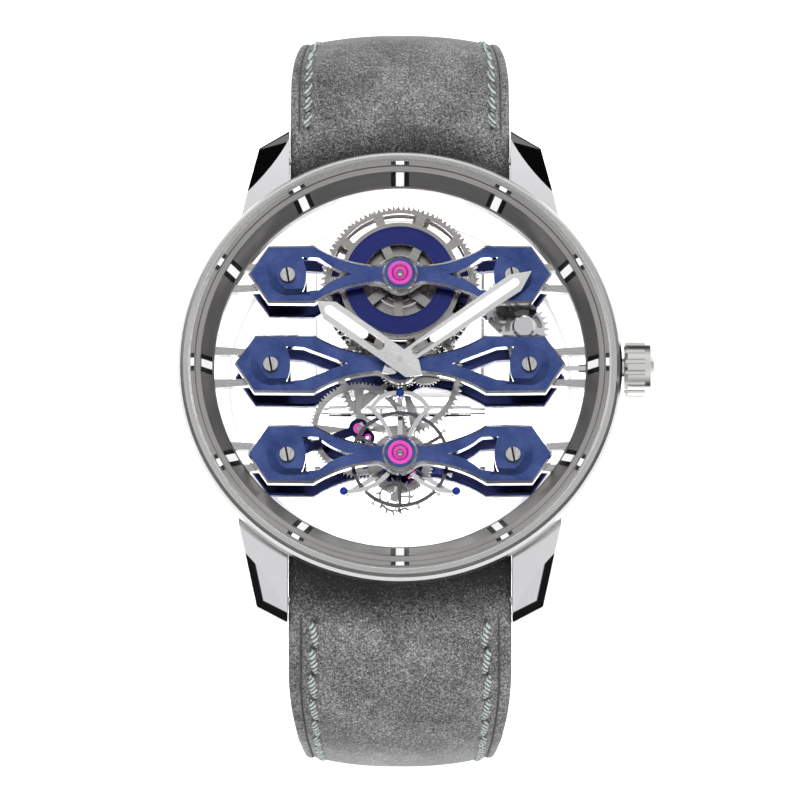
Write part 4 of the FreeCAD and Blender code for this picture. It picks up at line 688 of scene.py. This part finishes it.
class Band:
    """Points of a strap half, each with how much painted shade it takes in the groove and stitch dimples,
    and their rings.
    """

    def __init__(self, sign):
        self.sign = sign
        self.points = []
        self.crease_shade = []

    def add(self, ring, x, y, z, shade_depth):
        ring.append(len(self.points))
        self.points.append((x, self.sign * y, z))
        self.crease_shade.append(shade_depth)

    def fitted_rings(self, first):
        """Rings of the inner end, from the round case out to the strap's first ring at the bar."""
        heights = [self.points[index][2] for index in first]
        lift = FITTED_TOP_Z - max(heights)
        drop = FITTED_LOW_Z - min(heights)
        middle = (FITTED_TOP_Z + FITTED_LOW_Z) / 2
        made = []
        for share, thick in FITTED_SHARES:
            rise = smooth(share, 0.0, 0.8)
            ring = []
            for index in first:
                x, y, z = self.points[index]
                case_y = math.sqrt(FITTED_R ** 2 - x * x)
                height = z + (lift if z > BAR_Z else drop) * rise
                fitted_y = abs(y) + (case_y - abs(y)) * share
                self.add(ring, x, fitted_y, middle + (height - middle) * thick, 0.0)
            made.append(ring)
        return made

    def ring(self, station, holes, rows):
        """One section of the strap: its outer face from side to side, then its lining back again."""
        (y, z), normal, at, thick = station
        w = half_width(z) - SIDE_CLEAR
        sewn = smooth(at, holes[0] - SEWN_FADE, holes[0]) * (1 - smooth(at, SEWN_TO, SEWN_TO + SEWN_FADE))
        scale = row_scale(at, *rows)
        ring = []
        for x in outer_rows(w, scale):
            inset = (w - abs(x)) / scale
            up = strap_top(inset, w, sewn)
            # painted shade along the groove, then in each stitch dimple
            shade_depth = 0.75 * sewn * math.exp(-((inset - GROOVE_AT) / 0.07) ** 2)
            for hole in holes:
                if abs(at - hole) < 0.7:
                    near = math.hypot((at - hole) / DIMPLE_HALF_L, (inset - STITCH_AT) / DIMPLE_HALF_W)
                    dip = math.exp(-near ** 2)
                    up -= DIMPLE_DEPTH * dip
                    shade_depth = max(shade_depth, dip)
            self.add(ring, x, y + normal[0] * up * thick, z + normal[1] * up * thick, shade_depth)
        for x in lining_rows(w):
            down = (LINING_DEPTH - edge_drop(w - abs(x))) * thick
            self.add(ring, x, y - normal[0] * down, z - normal[1] * down, 0.0)
        return ring


def outer_rows(w, scale):
    """Places across the outer face, from one edge to the other."""
    insets = [step * scale for step in EDGE_STEPS]
    inner = w - insets[-1]
    middle = [-inner + 2 * inner * i / CENTRE_STEPS for i in range(1, CENTRE_STEPS)]
    return [-(w - inset) for inset in insets] + middle + [w - inset for inset in reversed(insets)]


def lining_rows(w):
    """Places across the lining, back from the far edge to the first."""
    middle = [w * (0.85 - 0.17 * i) for i in range(LINING_STEPS)]
    edge = [w - step for step in LINING_EDGE_STEPS]
    return edge + middle + [-x for x in reversed(edge)]


def closed_piece(name, points, faces, materials):
    """Smooth object from points in mm, with its faces turned outwards."""
    mesh = bpy.data.meshes.new(name)
    mesh.from_pydata([(x * MM, y * MM, z * MM) for x, y, z in points], [], faces)
    for material in materials:
        mesh.materials.append(MATERIALS[material])
    work = bmesh.new()
    work.from_mesh(mesh)
    bmesh.ops.recalc_face_normals(work, faces=work.faces)
    work.to_mesh(mesh)
    work.free()
    mesh.shade_smooth()
    piece = bpy.data.objects.new(name, mesh)
    bpy.context.scene.collection.objects.link(piece)
    return piece


def padded_half(name, sign, path, holes, rows):
    """One padded half with its groove, stitch channel and stitch dimples."""
    band = Band(sign)
    rings = [band.ring(station, holes, rows) for station in path]
    rings = band.fitted_rings(rings[0]) + rings
    outer_count = 2 * len(EDGE_STEPS) + CENTRE_STEPS - 1
    faces = []
    slots = []
    for a, b in zip(rings[:-1], rings[1:]):
        size = len(a)
        for i in range(size):
            j = (i + 1) % size
            faces.append((a[i], b[i], b[j], a[j]))
            slots.append(0 if i < outer_count + 2 or i >= size - 2 else 1)
    faces.append(tuple(rings[0]))
    faces.append(tuple(reversed(rings[-1])))
    slots += [0, 0]
    piece = closed_piece(name, band.points, faces, ("nubuck", "lining"))
    piece.data.polygons.foreach_set("material_index", slots)
    attribute = piece.data.attributes.new("crease_shade", "FLOAT", "POINT")
    attribute.data.foreach_set("value", band.crease_shade)
    return piece


def at_distance(path, distance):
    """Point and normal of the strap's middle line at a distance from its start."""
    for before, after in zip(path[:-1], path[1:]):
        if before[2] <= distance <= after[2] and after[2] > before[2]:
            t = (distance - before[2]) / (after[2] - before[2])
            point = [a + (b - a) * t for a, b in zip(before[0], after[0])]
            normal = Vector([a + (b - a) * t for a, b in zip(before[1], after[1])]).normalized()
            return point, normal
    raise ValueError("distance is off the strap")


def stitch_points(centre, forward, across, up, length, lean):
    """Points round one swollen, flattened stitch of twisted thread, which dips at both ends."""
    made = []
    for i in range(STITCH_ALONG):
        t = -1 + 2 * i / (STITCH_ALONG - 1)
        radius = THREAD_END_R + THREAD_SWELL * max(0.0, 1 - abs(t) ** 2.6) ** 0.5
        drop = -THREAD_END_DROP * abs(t) ** 3
        spine = centre + forward * (t * length / 2) - across * (lean * t) + up * drop
        for k in range(STITCH_AROUND):
            turn = 2 * math.pi * k / STITCH_AROUND
            ridge = radius * (1 + 0.17 * math.cos(3 * (turn - 3.0 * t)))
            side = across * (ridge * math.cos(turn))
            made.append(spine + side + up * (THREAD_FLATNESS * ridge * math.sin(turn)))
    return made


def stitch_faces(base):
    """Faces of one stitch whose points start at index base."""
    made = []
    for i in range(STITCH_ALONG - 1):
        here = base + i * STITCH_AROUND
        there = here + STITCH_AROUND
        for k in range(STITCH_AROUND):
            n = (k + 1) % STITCH_AROUND
            made.append((here + k, here + n, there + n, there + k))
    last = base + (STITCH_ALONG - 1) * STITCH_AROUND
    made.append(tuple(base + k for k in range(STITCH_AROUND)))
    made.append(tuple(last + k for k in reversed(range(STITCH_AROUND))))
    return made


def stitch_rows(name, sign, path, holes, rows):
    """Both rows of stitches of a strap half, slanted across their line."""
    points = []
    faces = []
    across = Vector((1.0, 0.0, 0.0))
    for side in (-1, 1):
        for start, end in zip(holes[:-1], holes[1:]):
            middle = (start + end) / 2
            (y, z), normal = at_distance(path, middle)
            w = half_width(z) - SIDE_CLEAR
            up = Vector((0.0, sign * normal[0], normal[1]))
            forward = Vector((0.0, sign * normal[1], -normal[0]))
            x = side * (w - STITCH_AT * row_scale(middle, *rows))
            centre = Vector((x, sign * y, z)) + up * (strap_top(STITCH_AT, w, 1.0) + THREAD_LIFT)
            faces += stitch_faces(len(points))
            points += stitch_points(centre, forward, across, up, (end - start) * STITCH_OVERLAP,
                                    STITCH_LEAN * side)
    return closed_piece(name, points, faces, ("thread",))


for half, sign, shoulder_r, sewn_from, pitch, rows in HALVES:
    path = strap_path(shoulder_r)
    holes = [sewn_from + pitch * i for i in range(1 + int((SEWN_TO - sewn_from) / pitch))]
    band = padded_half(half + "_padded", sign, path, holes, rows)
    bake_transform(band)
    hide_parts(half)
    thread = stitch_rows(half + "_stitches", sign, path, holes, rows)
    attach(thread, half)


# ================================================================ floor, lights and camera, in metres
FLOOR_GAP = 0.0002
FLOOR_R = 2.5
VIEW_ELEVATION_DEG = 75.0
VIEW_DISTANCE = 0.70
VIEW_WIDTH = 0.0789
VIEW_AIM = (0.0, -0.0039, 0.010)
SENSOR_W = 36.0
# grey of the studio that metals mirror, from straight below to straight above
SKY_GREYS = [(0.0, 0.5), (0.46, 0.35), (0.53, 0.06), (0.62, 0.10), (0.74, 0.45), (0.88, 0.95), (1.0, 0.80)]


def make_floor(level):
    work = bmesh.new()
    bmesh.ops.create_circle(work, cap_ends=True, segments=96, radius=FLOOR_R)
    mesh = bpy.data.meshes.new("studio_floor")
    work.to_mesh(mesh)
    work.free()
    floor = bpy.data.objects.new("studio_floor", mesh)
    floor.location = (0, 0, level)
    bpy.context.scene.collection.objects.link(floor)
    paint = Surface("floor_white", (0.93, 0.93, 0.93), 0.0, 0.9)
    haze = paint.noise(paint.place((3.0, 3.0, 3.0)), 1.0, 2.0, 0.5)
    paint.feed("Base Color", paint.mix(haze, (0.92, 0.92, 0.92), (0.94, 0.94, 0.94)))
    paint.glow(WHITE, 0.35)
    mesh.materials.append(paint.material)


def area_light(name, at, towards, size, power, mirrored=False):
    """Lamp of size (width, height) that metals don't mirror, unless mirrored."""
    data = bpy.data.lights.new(name, "AREA")
    data.shape = "RECTANGLE"
    data.size, data.size_y = size
    data.energy = power
    lamp = bpy.data.objects.new(name, data)
    lamp.location = at
    lamp.rotation_mode = "QUATERNION"
    lamp.rotation_quaternion = (Vector(towards) - Vector(at)).to_track_quat("-Z", "Y")
    lamp.visible_camera = False
    lamp.visible_glossy = mirrored
    bpy.context.scene.collection.objects.link(lamp)


def make_world():
    """Plain white behind the object, and a soft grey gradient for what metals mirror."""
    world = bpy.data.worlds.new("studio")
    bpy.context.scene.world = world
    world.use_nodes = True
    tree = world.node_tree
    where = tree.nodes.new("ShaderNodeTexCoord")
    parts = tree.nodes.new("ShaderNodeSeparateXYZ")
    tree.links.new(where.outputs["Generated"], parts.inputs[0])
    height = tree.nodes.new("ShaderNodeMapRange")
    height.inputs["From Min"].default_value = -1.0
    height.inputs["From Max"].default_value = 1.0
    tree.links.new(parts.outputs[2], height.inputs["Value"])
    ramp = tree.nodes.new("ShaderNodeValToRGB")
    fill_ramp(ramp.color_ramp, [(at, (grey, grey, grey * 1.01)) for at, grey in SKY_GREYS])
    tree.links.new(height.outputs[0], ramp.inputs["Fac"])
    shade = tree.nodes["Background"]
    tree.links.new(ramp.outputs["Color"], shade.inputs["Color"])
    shade.inputs["Strength"].default_value = 1.0
    plain = tree.nodes.new("ShaderNodeBackground")
    plain.inputs["Color"].default_value = (*WHITE, 1.0)
    plain.inputs["Strength"].default_value = 1.0
    ray = tree.nodes.new("ShaderNodeLightPath")
    mixed = tree.nodes.new("ShaderNodeMixShader")
    tree.links.new(ray.outputs["Is Camera Ray"], mixed.inputs[0])
    tree.links.new(shade.outputs[0], mixed.inputs[1])
    tree.links.new(plain.outputs[0], mixed.inputs[2])
    tree.links.new(mixed.outputs[0], tree.nodes["World Output"].inputs["Surface"])


def make_camera():
    elevation = math.radians(VIEW_ELEVATION_DEG)
    back = Vector((0.0, -math.cos(elevation), math.sin(elevation)))
    data = bpy.data.cameras.new("camera")
    data.sensor_width = SENSOR_W
    data.lens = SENSOR_W * VIEW_DISTANCE / VIEW_WIDTH
    camera = bpy.data.objects.new("camera", data)
    camera.location = Vector(VIEW_AIM) + back * VIEW_DISTANCE
    camera.rotation_mode = "QUATERNION"
    camera.rotation_quaternion = (-back).to_track_quat("-Z", "Y")
    bpy.context.scene.collection.objects.link(camera)
    bpy.context.scene.camera = camera


make_floor(cad_box[0][2] - FLOOR_GAP)
make_world()
make_camera()
area_light("key", (-0.25, -0.15, 0.65), (0, 0, 0), (0.35, 0.35), 1.6)
area_light("fill", (0.45, -0.25, 0.40), (0, 0, 0), (0.40, 0.40), 0.9)
area_light("top", (0.0, 0.30, 0.70), (0, 0, 0), (0.45, 0.45), 1.4)
area_light("floor_wash", (0.0, -0.1, 1.2), (0, 0, -0.05), (1.4, 1.4), 4.0)
area_light("inside", (0.0, 0.0, -0.002), (0, 0, -0.04), (0.036, 0.042), 0.06, mirrored=True)

bpy.context.scene.view_settings.view_transform = "Standard"
bpy.context.scene.view_settings.look = "None"
